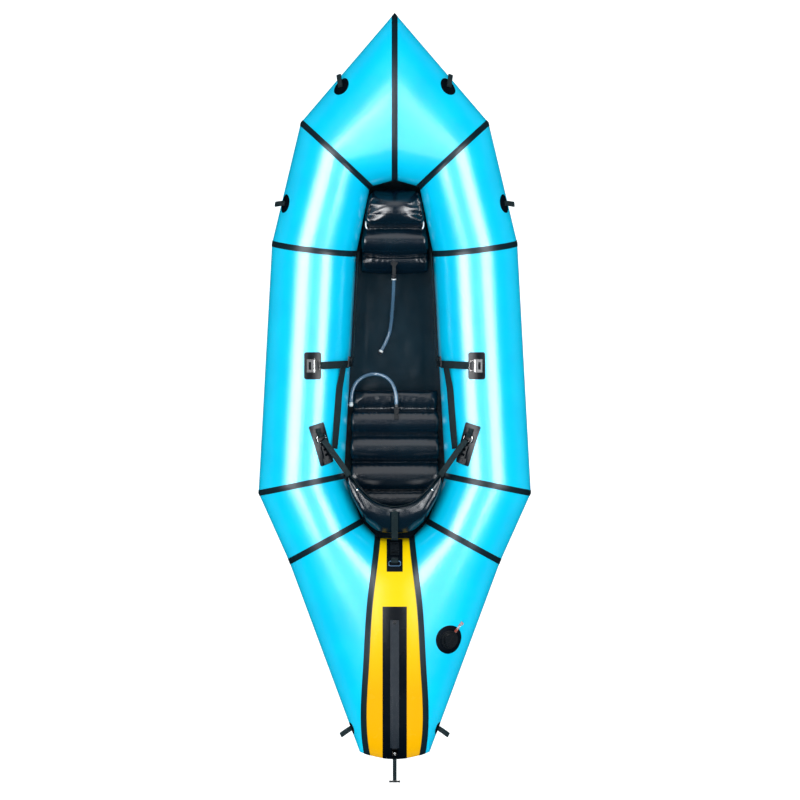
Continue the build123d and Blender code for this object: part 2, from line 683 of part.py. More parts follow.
save((anchor_fit.location * anchor_ring).mirror(Plane.YZ), "anchor_ring_left")
save(both_sides(anchor_fit.location * rear_buckle.part), "rear_buckles")
save(both_sides(side_strap), "backrest_side_straps")

# ---- backrest ---------------------------------------------------------------------------------
BACK_LOW = 130.0
BACK_WING_LOW = 172.0
BACK_TOP = 292.0
BACK_FRONT = ((-157, -298), (-113, -354), (-62, -398), (0, -413), (62, -398), (113, -354), (157, -298))
BACK_REAR = (
    (157, -326), (142, -372), (101, -450), (52, -497),
    (-52, -497), (-101, -450), (-142, -372), (-157, -326),
)
BAND_W = 20.0
BAND_GAP = 2.2  # ahead of the backrest's front face
BAND_LOW = BACK_TOP - 34
with BuildPart() as backrest:
    with BuildSketch(Plane.XY.offset(BACK_LOW)):
        with BuildLine():
            Spline(*BACK_FRONT)
            Polyline(BACK_FRONT[-1], *BACK_REAR, BACK_FRONT[0])
        make_face()
    extrude(amount=BACK_TOP - BACK_LOW)
    with BuildSketch(Plane.XY.offset(BACK_LOW)):
        with Locations((0, -290)):
            Rectangle(400, 160)
    extrude(amount=BACK_WING_LOW - BACK_LOW, mode=Mode.SUBTRACT)
    # The top falls away toward the stern.
    with BuildSketch(Plane.YZ):
        with BuildLine():
            Polyline((-420, BACK_TOP + 1), (-520, BACK_TOP + 1), (-520, BACK_TOP - 56), close=True)
        make_face()
    extrude(amount=200, both=True, mode=Mode.SUBTRACT)
band_rear = [(x, y + BAND_GAP) for x, y in BACK_FRONT]
band_front = [(x, y + WEB_T) for x, y in band_rear]
with BuildPart() as backrest_band:
    with BuildSketch(Plane.XY.offset(BAND_LOW)):
        with BuildLine():
            Spline(*band_rear)
            Spline(*band_front)
            Line(band_rear[0], band_front[0])
            Line(band_rear[-1], band_front[-1])
        make_face()
    extrude(amount=BAND_W)
centre_strap = flat_strap((0, -424, 297), (0, -522, 243), (0, 0, 1), 23)
save(backrest.part, "backrest_cushion")
save(backrest_band.part, "backrest_band")
save(centre_strap, "backrest_strap")

# ---- seat -------------------------------------------------------------------------------------
SEAT_LOW = 8.0
# Each roll: its middle along the hull and above the floor, half its length and half its height.
SEAT_RIBS = (
    (-41, 58, 36, 18), (-122, 66, 43, 40), (-213, 66, 44, 40), (-311, 66, 50, 42), (-392, 62, 38, 30),
)
SEAT_BASE = ((-12, SEAT_LOW), (-12, 62), (-420, 70), (-420, 18), (-320, SEAT_LOW))
SEAT_PLAN = (
    (150, -7), (153, -110), (155, -300), (136, -366), (104, -430),
    (-104, -430), (-136, -366), (-155, -300), (-153, -110), (-150, -7),
)
STEM_HEIGHT = 113.0
SOCKET_R = 7.5  # of the collar that a hose is pushed into


def ribbed(ribs, base, plan, low, high):
    """A cushion: rolls across the boat fused to a base block, trimmed to a plan outline."""
    with BuildPart() as cushion:
        with BuildSketch(Plane.YZ):
            for y, z, half_length, half_height in ribs:
                with Locations((y, z)):
                    Ellipse(half_length, half_height)
            with BuildLine():
                Polyline(*base, close=True)
            make_face()
        extrude(amount=200, both=True)
        with BuildSketch(Plane.XY.offset(low)):
            with BuildLine():
                Polyline(*plan, close=True)
            make_face()
        extrude(amount=high - low, mode=Mode.INTERSECT)
    return cushion.part


seat = ribbed(SEAT_RIBS, SEAT_BASE, SEAT_PLAN, SEAT_LOW, 130)
with BuildPart() as seat_stem:
    with Locations((6, -92, STEM_HEIGHT)):
        Box(15, 42, 6)
    with Locations((6, -67, STEM_HEIGHT)):
        Cylinder(SOCKET_R, 9, rotation=(90, 0, 0))
save(seat, "seat_cushion")
save(seat_stem.part, "seat_stem")

# ---- inflation hoses --------------------------------------------------------------------------
HOSE_D = 12.0
SEAT_HOSE = (
    (6, -62.5, 113), (6, -15, 112), (-22, 30, 96), (-70, 45, 82),
    (-119, 28, 84), (-147, -14, 96), (-148, -56, 99),
)
BRACE_HOSE = (
    (-3, 366, 98), (-4, 318, 87), (-8, 260, 46), (-13, 200, 14), (-25, 158, 10.5), (-45, 122, 10.5),
)
MOUTHPIECE_R = 6.4
MOUTHPIECE_LENGTH = 14.0
GRIP_R = 7.4
GRIP_LENGTH = 4.0


def turn_radii(points):
    """For each corner, 0.45 of its shorter run over the tangent of half its turn."""
    radii = []
    for before, here, after in zip(points, points[1:], points[2:]):
        arriving = Vector(*here) - Vector(*before)
        leaving = Vector(*after) - Vector(*here)
        half_turn = math.radians(arriving.get_angle(leaving)) / 2
        radii.append(0.45 * min(arriving.length, leaving.length) / math.tan(half_turn))
    return radii


def hose(points):
    """A round hose along straight runs with rounded turns."""
    with BuildPart() as piece:
        with BuildLine() as path:
            FilletPolyline(*points, radius=turn_radii(points))
        with BuildSketch(path.line ^ 0):
            Circle(HOSE_D / 2)
        sweep(path=path.line)
    return piece.part


def mouthpiece(points):
    """A cap with a grip ring beyond the free end of a hose."""
    end = Vector(*points[-1])
    frame = Plane(origin=end, z_dir=end - Vector(*points[-2]))
    with BuildPart() as piece:
        with Locations((0, 0, MOUTHPIECE_LENGTH / 2)):
            Cylinder(MOUTHPIECE_R, MOUTHPIECE_LENGTH)
            Cylinder(GRIP_R, GRIP_LENGTH)
    return frame.location * piece.part


save(hose(SEAT_HOSE), "seat_hose")
save(hose(BRACE_HOSE), "footbrace_hose")
save(mouthpiece(SEAT_HOSE), "seat_mouthpiece")
save(mouthpiece(BRACE_HOSE), "footbrace_mouthpiece")

# ---- footbrace --------------------------------------------------------------------------------
NOZZLE = 14.0  # the collar that the hose is pushed into
BRACE_FLANGE_R = 12.0
BRACE_RIBS = ((604, 150, 68, 76), (492, 128, 48, 52), (420, 80, 42, 36))
BRACE_BASE = ((392, 14), (392, 76), (492, 120), (604, 120), (664, 120), (664, 46), (604, 34), (480, 16))
BRACE_PLAN = (
    (117, 372), (115, 450), (103, 540), (86, 636), (76, 680),
    (-76, 680), (-86, 636), (-103, 540), (-115, 450), (-117, 372),
)
brace = ribbed(BRACE_RIBS, BRACE_BASE, BRACE_PLAN, 8, 240)
nozzle_start = Vector(*BRACE_HOSE[0])
nozzle_frame = Plane(origin=nozzle_start, z_dir=Vector(*BRACE_HOSE[1]) - nozzle_start)
with BuildPart() as brace_fitting:
    with Locations((-2, 400, 122)):
        Box(12, 48, 6)
    with Locations((-2, 420, 119)):
        Cylinder(BRACE_FLANGE_R, 6)
    with Locations((-3, 378, 113)):
        Box(11, 14, 24)
with BuildPart() as brace_nozzle:
    with Locations((0, 0, -NOZZLE / 2)):
        Cylinder(SOCKET_R, NOZZLE)
brace_stem = brace_fitting.part + nozzle_frame.location * brace_nozzle.part
save(brace, "footbrace_cushion")
save(brace_stem - brace, "footbrace_stem")
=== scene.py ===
import bpy
import bmesh
import json
import math
from mathutils import Matrix, Vector, noise
from mathutils.bvhtree import BVHTree

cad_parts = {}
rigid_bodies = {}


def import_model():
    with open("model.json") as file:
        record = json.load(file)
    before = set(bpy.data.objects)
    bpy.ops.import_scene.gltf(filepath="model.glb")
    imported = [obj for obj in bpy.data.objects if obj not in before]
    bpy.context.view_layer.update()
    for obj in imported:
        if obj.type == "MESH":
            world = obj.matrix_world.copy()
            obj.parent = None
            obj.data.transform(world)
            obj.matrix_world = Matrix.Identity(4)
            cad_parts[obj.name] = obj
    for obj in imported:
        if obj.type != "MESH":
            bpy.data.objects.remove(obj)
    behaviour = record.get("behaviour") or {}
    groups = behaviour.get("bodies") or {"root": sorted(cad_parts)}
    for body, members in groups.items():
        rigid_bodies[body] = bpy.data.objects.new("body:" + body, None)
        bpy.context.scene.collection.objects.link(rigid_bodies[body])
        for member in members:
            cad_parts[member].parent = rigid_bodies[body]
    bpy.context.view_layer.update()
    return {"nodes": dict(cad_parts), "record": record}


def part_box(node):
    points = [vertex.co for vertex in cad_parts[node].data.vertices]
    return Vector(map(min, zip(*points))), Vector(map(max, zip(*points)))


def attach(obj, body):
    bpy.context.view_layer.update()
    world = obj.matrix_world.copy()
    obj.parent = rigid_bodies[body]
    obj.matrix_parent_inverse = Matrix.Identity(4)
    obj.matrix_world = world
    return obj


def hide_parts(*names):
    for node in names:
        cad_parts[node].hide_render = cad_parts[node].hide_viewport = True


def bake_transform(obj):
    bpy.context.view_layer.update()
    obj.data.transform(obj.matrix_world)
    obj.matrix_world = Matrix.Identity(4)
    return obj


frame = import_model()
nodes = frame["nodes"]
scene = bpy.context.scene

# ---- camera: straight above, bow at the top of the picture --------------------------------------
CAMERA_HEIGHT = 40.0
SENSOR_WIDTH = 36.0
VIEW_WIDTH = 2.715  # metres across the picture at the tubes' height
VIEW_LEVEL = 0.15
VIEW_CENTRE = (0.018, -0.0475)
cam_data = bpy.data.cameras.new("camera")
cam_data.sensor_width = SENSOR_WIDTH
cam_data.lens = SENSOR_WIDTH * (CAMERA_HEIGHT - VIEW_LEVEL) / VIEW_WIDTH
camera = bpy.data.objects.new("camera", cam_data)
camera.location = (*VIEW_CENTRE, CAMERA_HEIGHT)
scene.collection.objects.link(camera)
scene.camera = camera

# ---- studio: two overhead softboxes, a dim panel between them, a front panel and a broad soft sun ------
PANEL_Z = 3.5
SOFTBOX_Y = (-0.7, 1.15)


def area_light(name, middle, target, size, radiance):
    """A rectangular light seen only in reflections."""
    data = bpy.data.lights.new(name, "AREA")
    data.shape = "RECTANGLE"
    data.size, data.size_y = size
    data.energy = radiance * math.pi * size[0] * size[1]
    light = bpy.data.objects.new(name, data)
    light.location = middle
    light.rotation_euler = (Vector(target) - Vector(middle)).to_track_quat("-Z", "Y").to_euler()
    light.visible_diffuse = False
    scene.collection.objects.link(light)
    return light


def overhead_panel(name, x_span, y_span, radiance):
    """A light that faces straight down over a span of the floor."""
    middle = (sum(x_span) / 2, sum(y_span) / 2, PANEL_Z)
    size = (x_span[1] - x_span[0], y_span[1] - y_span[0])
    return area_light(name, middle, (middle[0], middle[1], 0), size, radiance)


overhead_panel("softbox_port", (-3.2, -0.95), SOFTBOX_Y, 18)
overhead_panel("softbox_starboard", (1.2, 3.2), SOFTBOX_Y, 17)
dim_panel = overhead_panel("dim_panel", (-4.7, 4.3), (-1.2, 1.6), 2.6)
front_panel = area_light("front_panel", (0, 4.0, 3.6), (0, -0.1, 0.1), (3.4, 5.5), 1.7)
sun_data = bpy.data.lights.new("soft_sun", "SUN")
sun_data.energy = 3.55
sun_data.angle = 1.9
sun = bpy.data.objects.new("soft_sun", sun_data)
sun.visible_glossy = False
scene.collection.objects.link(sun)

world = bpy.data.worlds.new("studio")
world.use_nodes = True
world.node_tree.nodes["Background"].inputs["Color"].default_value = (0.9, 0.95, 1.0, 1)
world.node_tree.nodes["Background"].inputs["Strength"].default_value = 0.18
world.cycles_visibility.glossy = False
scene.world = world
scene.view_settings.view_transform = "Standard"


# ---- materials --------------------------------------------------------------------------------
def surface(name, color, rough, **sockets):
    """A principled material; sockets are set by their names, with underscores for spaces."""
    mat = bpy.data.materials.new(name)
    mat.use_nodes = True
    bsdf = mat.node_tree.nodes["Principled BSDF"]
    bsdf.inputs["Base Color"].default_value = (*color, 1)
    bsdf.inputs["Roughness"].default_value = rough
    for key, value in sockets.items():
        bsdf.inputs[key.replace("_", " ")].default_value = value
    return mat


def node(mat, kind, **values):
    """A shader node with its inputs or settings given by name."""
    made = mat.node_tree.nodes.new(kind)
    for key, value in values.items():
        if key in made.inputs:
            made.inputs[key].default_value = value
        else:
            setattr(made, key, value)
    return made


def coordinates(mat, stretch=(1, 1, 1)):
    """Object coordinates, in metres, stretched for directional patterns."""
    place = node(mat, "ShaderNodeTexCoord")
    mapping = node(mat, "ShaderNodeMapping")
    mapping.inputs["Scale"].default_value = stretch
    mat.node_tree.links.new(place.outputs["Object"], mapping.inputs["Vector"])
    return mapping.outputs["Vector"]


def noise_value(mat, scale, detail=3.0, stretch=(1, 1, 1)):
    texture = node(mat, "ShaderNodeTexNoise", Scale=scale, Detail=detail)
    mat.node_tree.links.new(coordinates(mat, stretch), texture.inputs["Vector"])
    return texture.outputs["Fac"]


def wave_value(mat, scale, direction, distortion=0.4):
    texture = node(mat, "ShaderNodeTexWave", Scale=scale, Distortion=distortion, bands_direction=direction)
    mat.node_tree.links.new(coordinates(mat), texture.inputs["Vector"])
    return texture.outputs["Fac"]


def add_bump(mat, height, distance, strength=1.0):
    """Stacks one more bump under the material's normal."""
    bsdf = mat.node_tree.nodes["Principled BSDF"]
    bump = node(mat, "ShaderNodeBump", Strength=strength, Distance=distance)
    mat.node_tree.links.new(height, bump.inputs["Height"])
    if bsdf.inputs["Normal"].is_linked:
        mat.node_tree.links.new(bsdf.inputs["Normal"].links[0].from_socket, bump.inputs["Normal"])
    mat.node_tree.links.new(bump.outputs["Normal"], bsdf.inputs["Normal"])


def vary(mat, socket, fac, low, high):
    """Drives a socket between two values or colours by a texture."""
    if isinstance(low, tuple):
        ramp = node(mat, "ShaderNodeValToRGB")
        for element, position, color in zip(ramp.color_ramp.elements, (0.3, 0.7), (low, high)):
            element.position = position
            element.color = (*color, 1)
        out = ramp.outputs["Color"]
        mat.node_tree.links.new(fac, ramp.inputs["Fac"])
    else:
        spread = node(mat, "ShaderNodeMapRange")
        spread.inputs["To Min"].default_value = low
        spread.inputs["To Max"].default_value = high
        out = spread.outputs["Result"]
        mat.node_tree.links.new(fac, spread.inputs["Value"])
    mat.node_tree.links.new(out, mat.node_tree.nodes["Principled BSDF"].inputs[socket])


THREAD_SCALE = 260.0
THREAD_BUMP = 0.00012
# painted shade: the deck's yellow is darker and more orange toward the stern, lighter toward the front
DECK_SHADED_AFT, DECK_LIT_FRONT = (0.84, 0.43, 0.0), (0.92, 0.64, 0.0)


def coated_fabric(name, low, high, rough, coat, specular=0.5, swell=0.0016):
    """Woven cloth under a smooth glossy coating: soft waviness and a faint thread texture."""
    mat = surface(name, high, rough, Coat_Weight=coat, Coat_Roughness=0.12, Specular_IOR_Level=specular)
    vary(mat, "Base Color", noise_value(mat, 7.0), low, high)
    vary(mat, "Roughness", noise_value(mat, 30.0), rough - 0.03, rough + 0.04)
    for direction in "XY":
        add_bump(mat, wave_value(mat, THREAD_SCALE, direction), THREAD_BUMP, 0.2)
    add_bump(mat, noise_value(mat, 9.0, 2.0), swell, 0.3)
    return mat


hull_mat = coated_fabric("hull_cyan", (0.0, 0.60, 0.94), (0.0, 0.67, 1.0), 0.19, 0.3)
deck_mat = coated_fabric("deck_yellow", DECK_SHADED_AFT, DECK_LIT_FRONT, 0.26, 0.0, 0.1)
# painted shade along the deck: its colour runs from the darker aft end to the lighter front by place along
# the boat
painted_shade_ramp = node(deck_mat, "ShaderNodeMapRange", **{"From Min": -1.25, "From Max": -0.55})
deck_place = node(deck_mat, "ShaderNodeSeparateXYZ")
deck_mat.node_tree.links.new(coordinates(deck_mat), deck_place.inputs["Vector"])
deck_mat.node_tree.links.new(deck_place.outputs["Y"], painted_shade_ramp.inputs["Value"])
vary(deck_mat, "Base Color", painted_shade_ramp.outputs["Result"], DECK_SHADED_AFT, DECK_LIT_FRONT)
floor_mat = coated_fabric("floor_black", (0.002, 0.012, 0.020), (0.004, 0.020, 0.032), 0.22, 0.0,
                          specular=0.12, swell=0.004)
cushion_mat = coated_fabric("cushion_black", (0.001, 0.006, 0.013), (0.002, 0.011, 0.02), 0.2, 0.0,
                            specular=0.5, swell=0.003)
tape_mat = coated_fabric("seam_tape", (0.002, 0.012, 0.019), (0.004, 0.019, 0.028), 0.34, 0.0,
                         specular=0.25, swell=0.0008)
patch_mat = coated_fabric("patch_black", (0.001, 0.003, 0.006), (0.003, 0.006, 0.010), 0.25, 0.0,
                          specular=0.18, swell=0.0006)

webbing_mat = surface("webbing_black", (0.006, 0.016, 0.02), 0.6, Specular_IOR_Level=0.12)
strap_place = node(webbing_mat, "ShaderNodeUVMap", uv_map="strap")
for axis, scale in (("X", 150.0), ("Y", 110.0)):
    ribs = node(webbing_mat, "ShaderNodeTexWave", Scale=scale, Distortion=0.6, bands_direction=axis)
    webbing_mat.node_tree.links.new(strap_place.outputs["UV"], ribs.inputs["Vector"])
    add_bump(webbing_mat, ribs.outputs["Fac"], 0.0005, 0.7)
vary(webbing_mat, "Base Color", noise_value(webbing_mat, 500.0), (0.003, 0.010, 0.013), (0.009, 0.023, 0.028))
vary(webbing_mat, "Roughness", noise_value(webbing_mat, 60.0), 0.45, 0.65)
thread_mat = surface("webbing_thread", (0.02, 0.03, 0.034), 0.55, Specular_IOR_Level=0.2)
add_bump(thread_mat, noise_value(thread_mat, 2500.0), 0.0002, 0.6)

plastic_mat = surface("plastic_black", (0.006, 0.009, 0.012), 0.3, Specular_IOR_Level=0.35)
vary(plastic_mat, "Roughness", noise_value(plastic_mat, 120.0), 0.22, 0.36)
add_bump(plastic_mat, noise_value(plastic_mat, 1500.0), 0.00005, 0.5)

zipper_mat = surface("zipper_black", (0.012, 0.020, 0.030), 0.35, Specular_IOR_Level=0.3)
add_bump(zipper_mat, wave_value(zipper_mat, 140.0, "Y", 0.0), 0.0006, 0.8)

metal_mat = surface("buckle_metal", (0.13, 0.135, 0.14), 0.34, Metallic=1.0)
vary(metal_mat, "Roughness", noise_value(metal_mat, 200.0, 3.0, (1, 8, 1)), 0.25, 0.45)
wire_mat = surface("wire_metal", (0.62, 0.63, 0.64), 0.2, Metallic=1.0)
vary(wire_mat, "Roughness", noise_value(wire_mat, 300.0), 0.1, 0.24)
ring_mat = surface("ring_blue", (0.09, 0.2, 0.36), 0.3, Metallic=0.5)
vary(ring_mat, "Roughness", noise_value(ring_mat, 200.0), 0.22, 0.4)
white_mat = surface("mouthpiece_white", (0.85, 0.88, 0.88), 0.3)
vary(white_mat, "Roughness", noise_value(white_mat, 200.0), 0.24, 0.4)
hose_mat = surface("hose_clear", (0.12, 0.24, 0.36), 0.14, Transmission_Weight=0.5, IOR=1.42,
                   Coat_Weight=0.4)
vary(hose_mat, "Roughness", noise_value(hose_mat, 60.0), 0.1, 0.22)
tag_mat = surface("tag_clear", (0.8, 0.85, 0.86), 0.2, Transmission_Weight=0.7)
vary(tag_mat, "Base Color", noise_value(tag_mat, 90.0), (0.7, 0.16, 0.1), (0.9, 0.95, 0.96))

finish = {
    "hull_cyan": hull_mat, "deck_yellow": deck_mat, "floor_black": floor_mat, "seam_tape": tape_mat,
    "patch_black": patch_mat, "cushion_black": cushion_mat, "hose_clear": hose_mat,
    "mouthpiece_white": white_mat, "webbing_black": webbing_mat, "buckle_metal": metal_mat,
    "wire_metal": wire_mat, "ring_blue": ring_mat, "zipper_black": zipper_mat, "tag_clear": tag_mat,
    "plastic_black": plastic_mat,
}
for entry in frame["record"]["subparts"]:
    mesh = nodes[entry["node"]].data
    mesh.materials.clear()
    mesh.materials.append(finish[entry["material_slot"]])

STUDIO_HALF = 14.0
STUDIO_LEVEL = -0.0006
CORNERS = ((-1, -1), (1, -1), (1, 1), (-1, 1))
floor_mesh = bpy.data.meshes.new("studio_floor")
floor_mesh.from_pydata([(u * STUDIO_HALF, v * STUDIO_HALF, STUDIO_LEVEL) for u, v in CORNERS], [],
                       [(0, 1, 2, 3)])
studio_floor = bpy.data.objects.new("studio_floor", floor_mesh)
scene.collection.objects.link(studio_floor)
pale_mat = surface("studio_pale", (0.3, 0.3, 0.3), 0.9, Emission_Color=(1, 1, 1, 1), Emission_Strength=0.95)
vary(pale_mat, "Roughness", noise_value(pale_mat, 3.0), 0.85, 0.95)
floor_mesh.materials.append(pale_mat)
studio_floor.visible_glossy = False


# ---- building tools: webbing and turned profiles are given in millimetres, the rest in metres -----
MM = 0.001


def place(origin, x_dir, z_dir):
    """The matrix of a fitting frame given in millimetres."""
    x, z = Vector(x_dir).normalized(), Vector(z_dir).normalized()
    y = z.cross(x)
    matrix = Matrix((x, y, z)).transposed().to_4x4()
    matrix.translation = Vector(origin) * MM
    return matrix


def add_object(name, mesh, body, slot, *replaced):
    """Places a mesh on its body, or on none yet, in place of the CAD nodes it replaces."""
    piece = bpy.data.objects.new(name, mesh)
    scene.collection.objects.link(piece)
    if body:
        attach(piece, body)
    if replaced:
        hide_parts(*replaced)
    return piece


def finished_mesh(bm, name, *materials):
    """Turns the working mesh into a smooth-shaded one."""
    bmesh.ops.recalc_face_normals(bm, faces=bm.faces)
    mesh = bpy.data.meshes.new(name)
    bm.to_mesh(mesh)
    bm.free()
    mesh.shade_smooth()
    for mat in materials:
        mesh.materials.append(mat)
    return mesh


def mirror_copy(bm):
    """Adds the mirror image of everything in the mesh across the centre plane."""
    copied = bmesh.ops.duplicate(bm, geom=bm.verts[:] + bm.edges[:] + bm.faces[:])["geom"]
    for element in copied:
        if isinstance(element, bmesh.types.BMVert):
            element.co.x = -element.co.x
    bmesh.ops.reverse_faces(bm, faces=[f for f in copied if isinstance(f, bmesh.types.BMFace)])


def smooth_path(points, steps):
    """Catmull-Rom points through control points."""
    ends = [points[0] * 2 - points[1], *points, points[-1] * 2 - points[-2]]
    made = []
    for a, b, c, d in zip(ends, ends[1:], ends[2:], ends[3:]):
        for k in range(steps):
            t = k / steps
            made.append(0.5 * (2 * b + (c - a) * t + (2 * a - 5 * b + 4 * c - d) * t * t
                               + (3 * b - a - 3 * c + d) * t * t * t))
    return [*made, points[-1].copy()]


# webbing's section in widths and thicknesses: round edges and a slightly crowned face
STRAP_SECTION = ((-0.5, -0.2), (-0.47, -0.42), (-0.4, -0.5), (0.4, -0.5), (0.47, -0.42), (0.5, -0.2),
                 (0.5, 0.2), (0.47, 0.42), (0.4, 0.5), (0.15, 0.56), (-0.15, 0.56), (-0.4, 0.5),
                 (-0.47, 0.42), (-0.5, 0.2))


def strap(bm, controls, faces, width, thickness, steps=8, matrix=None):
    """Webbing with soft edges along control points; faces are its outward normals there."""
    points = smooth_path([Vector(p) * MM for p in controls], steps)
    normals = smooth_path([Vector(n) for n in faces], steps)
    if matrix:
        points = [matrix @ p for p in points]
        normals = [matrix.to_3x3() @ n for n in normals]
    uv = bm.loops.layers.uv.get("strap") or bm.loops.layers.uv.new("strap")
    rings, along, travelled = [], [], 0.0
    for i, (point, normal) in enumerate(zip(points, normals)):
        ahead = (points[min(i + 1, len(points) - 1)] - points[max(i - 1, 0)]).normalized()
        out = (normal - ahead * normal.dot(ahead)).normalized()
        side = ahead.cross(out)
        if i:
            travelled += (point - points[i - 1]).length
        along.append(travelled)
        rings.append([bm.verts.new(point + side * (u * width * MM) + out * (v * thickness * MM))
                      for u, v in STRAP_SECTION])
    count = len(STRAP_SECTION)
    for i in range(len(rings) - 1):
        for k in range(count):
            corners = ((i, k), (i, (k + 1) % count), (i + 1, (k + 1) % count), (i + 1, k))
            face = bm.faces.new([rings[r][c] for r, c in corners])
            for loop, (r, c) in zip(face.loops, corners):
                loop[uv].uv = (along[r], STRAP_SECTION[c][0] * width * MM)
    bm.faces.new(rings[0])
    bm.faces.new(list(reversed(rings[-1])))


STITCH_LENGTH, STITCH_GAP, STITCH_HALF, STITCH_HEIGHT = 0.0026, 0.0012, 0.0004, 0.0005


def thread_run(bm, points, normal, lift):
    """A run of stitches along a polyline in metres, as short raised threads."""
    for a, b in zip(points, points[1:]):
        along = (b - a).normalized()
        side = along.cross(normal).normalized()
        out = side.cross(along).normalized()
        if out.dot(normal) < 0:
            out = -out
        span = (b - a).length
        for k in range(max(1, int(span / (STITCH_LENGTH + STITCH_GAP)))):
            start = a + along * (k * (STITCH_LENGTH + STITCH_GAP)) + out * lift
            end, half = start + along * STITCH_LENGTH, side * STITCH_HALF
            low = [start + half, end + half, end - half, start - half]
            crown = [start + along * (STITCH_LENGTH * f) + out * STITCH_HEIGHT for f in (0.25, 0.75)]
            verts = [bm.verts.new(p) for p in (*low, *crown)]
            for quad in ((0, 1, 5, 4), (2, 3, 4, 5), (0, 4, 3), (1, 2, 5)):
                bm.faces.new([verts[q] for q in quad]).material_index = 1


def box_stitch(bm, centre, ahead, normal, length, width, lift):
    """The boxed cross sewn where webbing is joined; millimetres for its size, metres for its place."""
    ahead = ahead.normalized()
    side = ahead.cross(normal).normalized()
    corners = [centre + ahead * (u * length * MM / 2) + side * (v * width * MM / 2) for u, v in CORNERS]
    for run in ([*corners, corners[0]], [corners[0], corners[2]], [corners[1], corners[3]]):
        thread_run(bm, run, normal, lift * MM)


def lathe(bm, profile, matrix, segments=40):
    """Turns a profile of (radius, height) millimetres about a frame's z axis."""
    turns = [2 * math.pi * k / segments for k in range(segments)]
    rings = [[bm.verts.new(matrix @ (Vector((radius * math.cos(t), radius * math.sin(t), height)) * MM))
              for t in turns] for radius, height in profile]
    for low, high in zip(rings, rings[1:]):
        for k in range(segments):
            bm.faces.new((low[k], low[(k + 1) % segments], high[(k + 1) % segments], high[k]))
    bm.faces.new(list(reversed(rings[0])))
    bm.faces.new(rings[-1])


def both_ways(profile):
    """A turned profile together with its own mirror image at negative heights."""
    return [(radius, -height) for radius, height in reversed(profile)] + list(profile)


def surface_tree(mesh):
    """A search tree of a mesh's faces."""
    return BVHTree.FromPolygons([v.co for v in mesh.vertices], [p.vertices for p in mesh.polygons])


def drop(tree, x, y):
    """The highest point of a surface at (x, y), and its normal."""
    hit, normal, _, _ = tree.ray_cast(Vector((x, y, 1.0)), Vector((0, 0, -1)))
    return hit, normal


def interpolate(table, value):
    """Straight-line interpolation in a table of (input, output), inputs rising."""
    for (a, low), (b, high) in zip(table, table[1:]):
        if value <= b:
            return low + (high - low) * max(0.0, (value - a) / (b - a))
    return table[-1][1]


# ---- cushions: sealed fabric blown up by simulated air, then welded channels ----------------------
AIR_FRAMES = 20
VOXEL = 0.0055


def evaluated_mesh(piece):
    """Applies a piece's modifiers and gives its new mesh."""
    view = bpy.context.evaluated_depsgraph_get()
    mesh = bpy.data.meshes.new_from_object(piece.evaluated_get(view))
    piece.modifiers.clear()
    piece.data = mesh
    return mesh


def inflate(name, cad, shrink, cap, rounds):
    """Copies a CAD cushion, shrinks it a little, lets air pressure swell it, and caps each point's travel."""
    mesh = nodes[cad].data.copy()
    low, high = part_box(cad)
    centre = (low + high) / 2
    size = high - low
    scale = Vector([1 - 2 * shrink / side for side in size])
    for vertex in mesh.vertices:
        vertex.co = centre + (vertex.co - centre) * scale
    piece = bpy.data.objects.new(name, mesh)
    scene.collection.objects.link(piece)
    remesh = piece.modifiers.new("voxels", "REMESH")
    remesh.mode = "VOXEL"
    remesh.voxel_size = VOXEL
    mesh = evaluated_mesh(piece)
    before = [v.co.copy() for v in mesh.vertices]
    cloth = piece.modifiers.new("air", "CLOTH")
    cloth.settings.quality = 4
    cloth.settings.mass = 0.25
    cloth.settings.tension_stiffness = 12
    cloth.settings.compression_stiffness = 12
    cloth.settings.bending_stiffness = 0.5
    cloth.settings.use_pressure = True
    cloth.settings.uniform_pressure_force = 4
    cloth.settings.effector_weights.gravity = 0
    cloth.collision_settings.use_collision = False
    for frame_number in range(1, AIR_FRAMES + 1):
        scene.frame_set(frame_number)
    mesh = evaluated_mesh(piece)
    scene.frame_set(1)
    for vertex, start in zip(mesh.vertices, before):
        moved = vertex.co - start
        if moved.length > cap:
            vertex.co = start + moved * (cap / moved.length)
    relax = piece.modifiers.new("relax", "SMOOTH")
    relax.factor = 0.5
    relax.iterations = rounds
    fine = piece.modifiers.new("fine", "SUBSURF")
    fine.levels = 1
    fine.render_levels = 1
    return piece, evaluated_mesh(piece)


def ripple(seed, value):
    """Smooth noise along one direction, different for each seed."""
    return noise.noise(Vector((value, seed * 7.3, 0.5)))


def upward(mesh):
    """Each vertex with the upward part of its normal, read before anything moves."""
    return list(zip(mesh.vertices, [v.normal.z for v in mesh.vertices]))


PUCKER_PITCH = 0.021


def pinch(mesh, channels, depth, reach, pucker):
    """Pulls the top in along welded channels across the cushion, with puckers that fade away from them."""
    for vertex, up in upward(mesh):
        x, y, z = vertex.co
        if up < 0.05:
            continue
        for seed, (channel, half) in enumerate(channels):
            away = abs(y - channel)
            if away > 5 * reach or abs(x) > half:
                continue
            end = min(1.0, (half - abs(x)) / 0.02)
            vertex.co.z -= up * end * depth * math.exp(-((away / reach) ** 2))
            fold = math.sin(x * 2 * math.pi / PUCKER_PITCH + 3 * ripple(seed, x * 30))
            fold *= 0.4 + 0.6 * abs(ripple(seed + 9, x * 14))
            fade = math.exp(-((away / (2.6 * reach)) ** 2)) * min(1.0, away / reach)
            vertex.co.z += up * end * pucker * fold * fade


WELD_LIFT, WELD_THICKNESS, WELD_STEP = 0.4, 0.9, 0.006


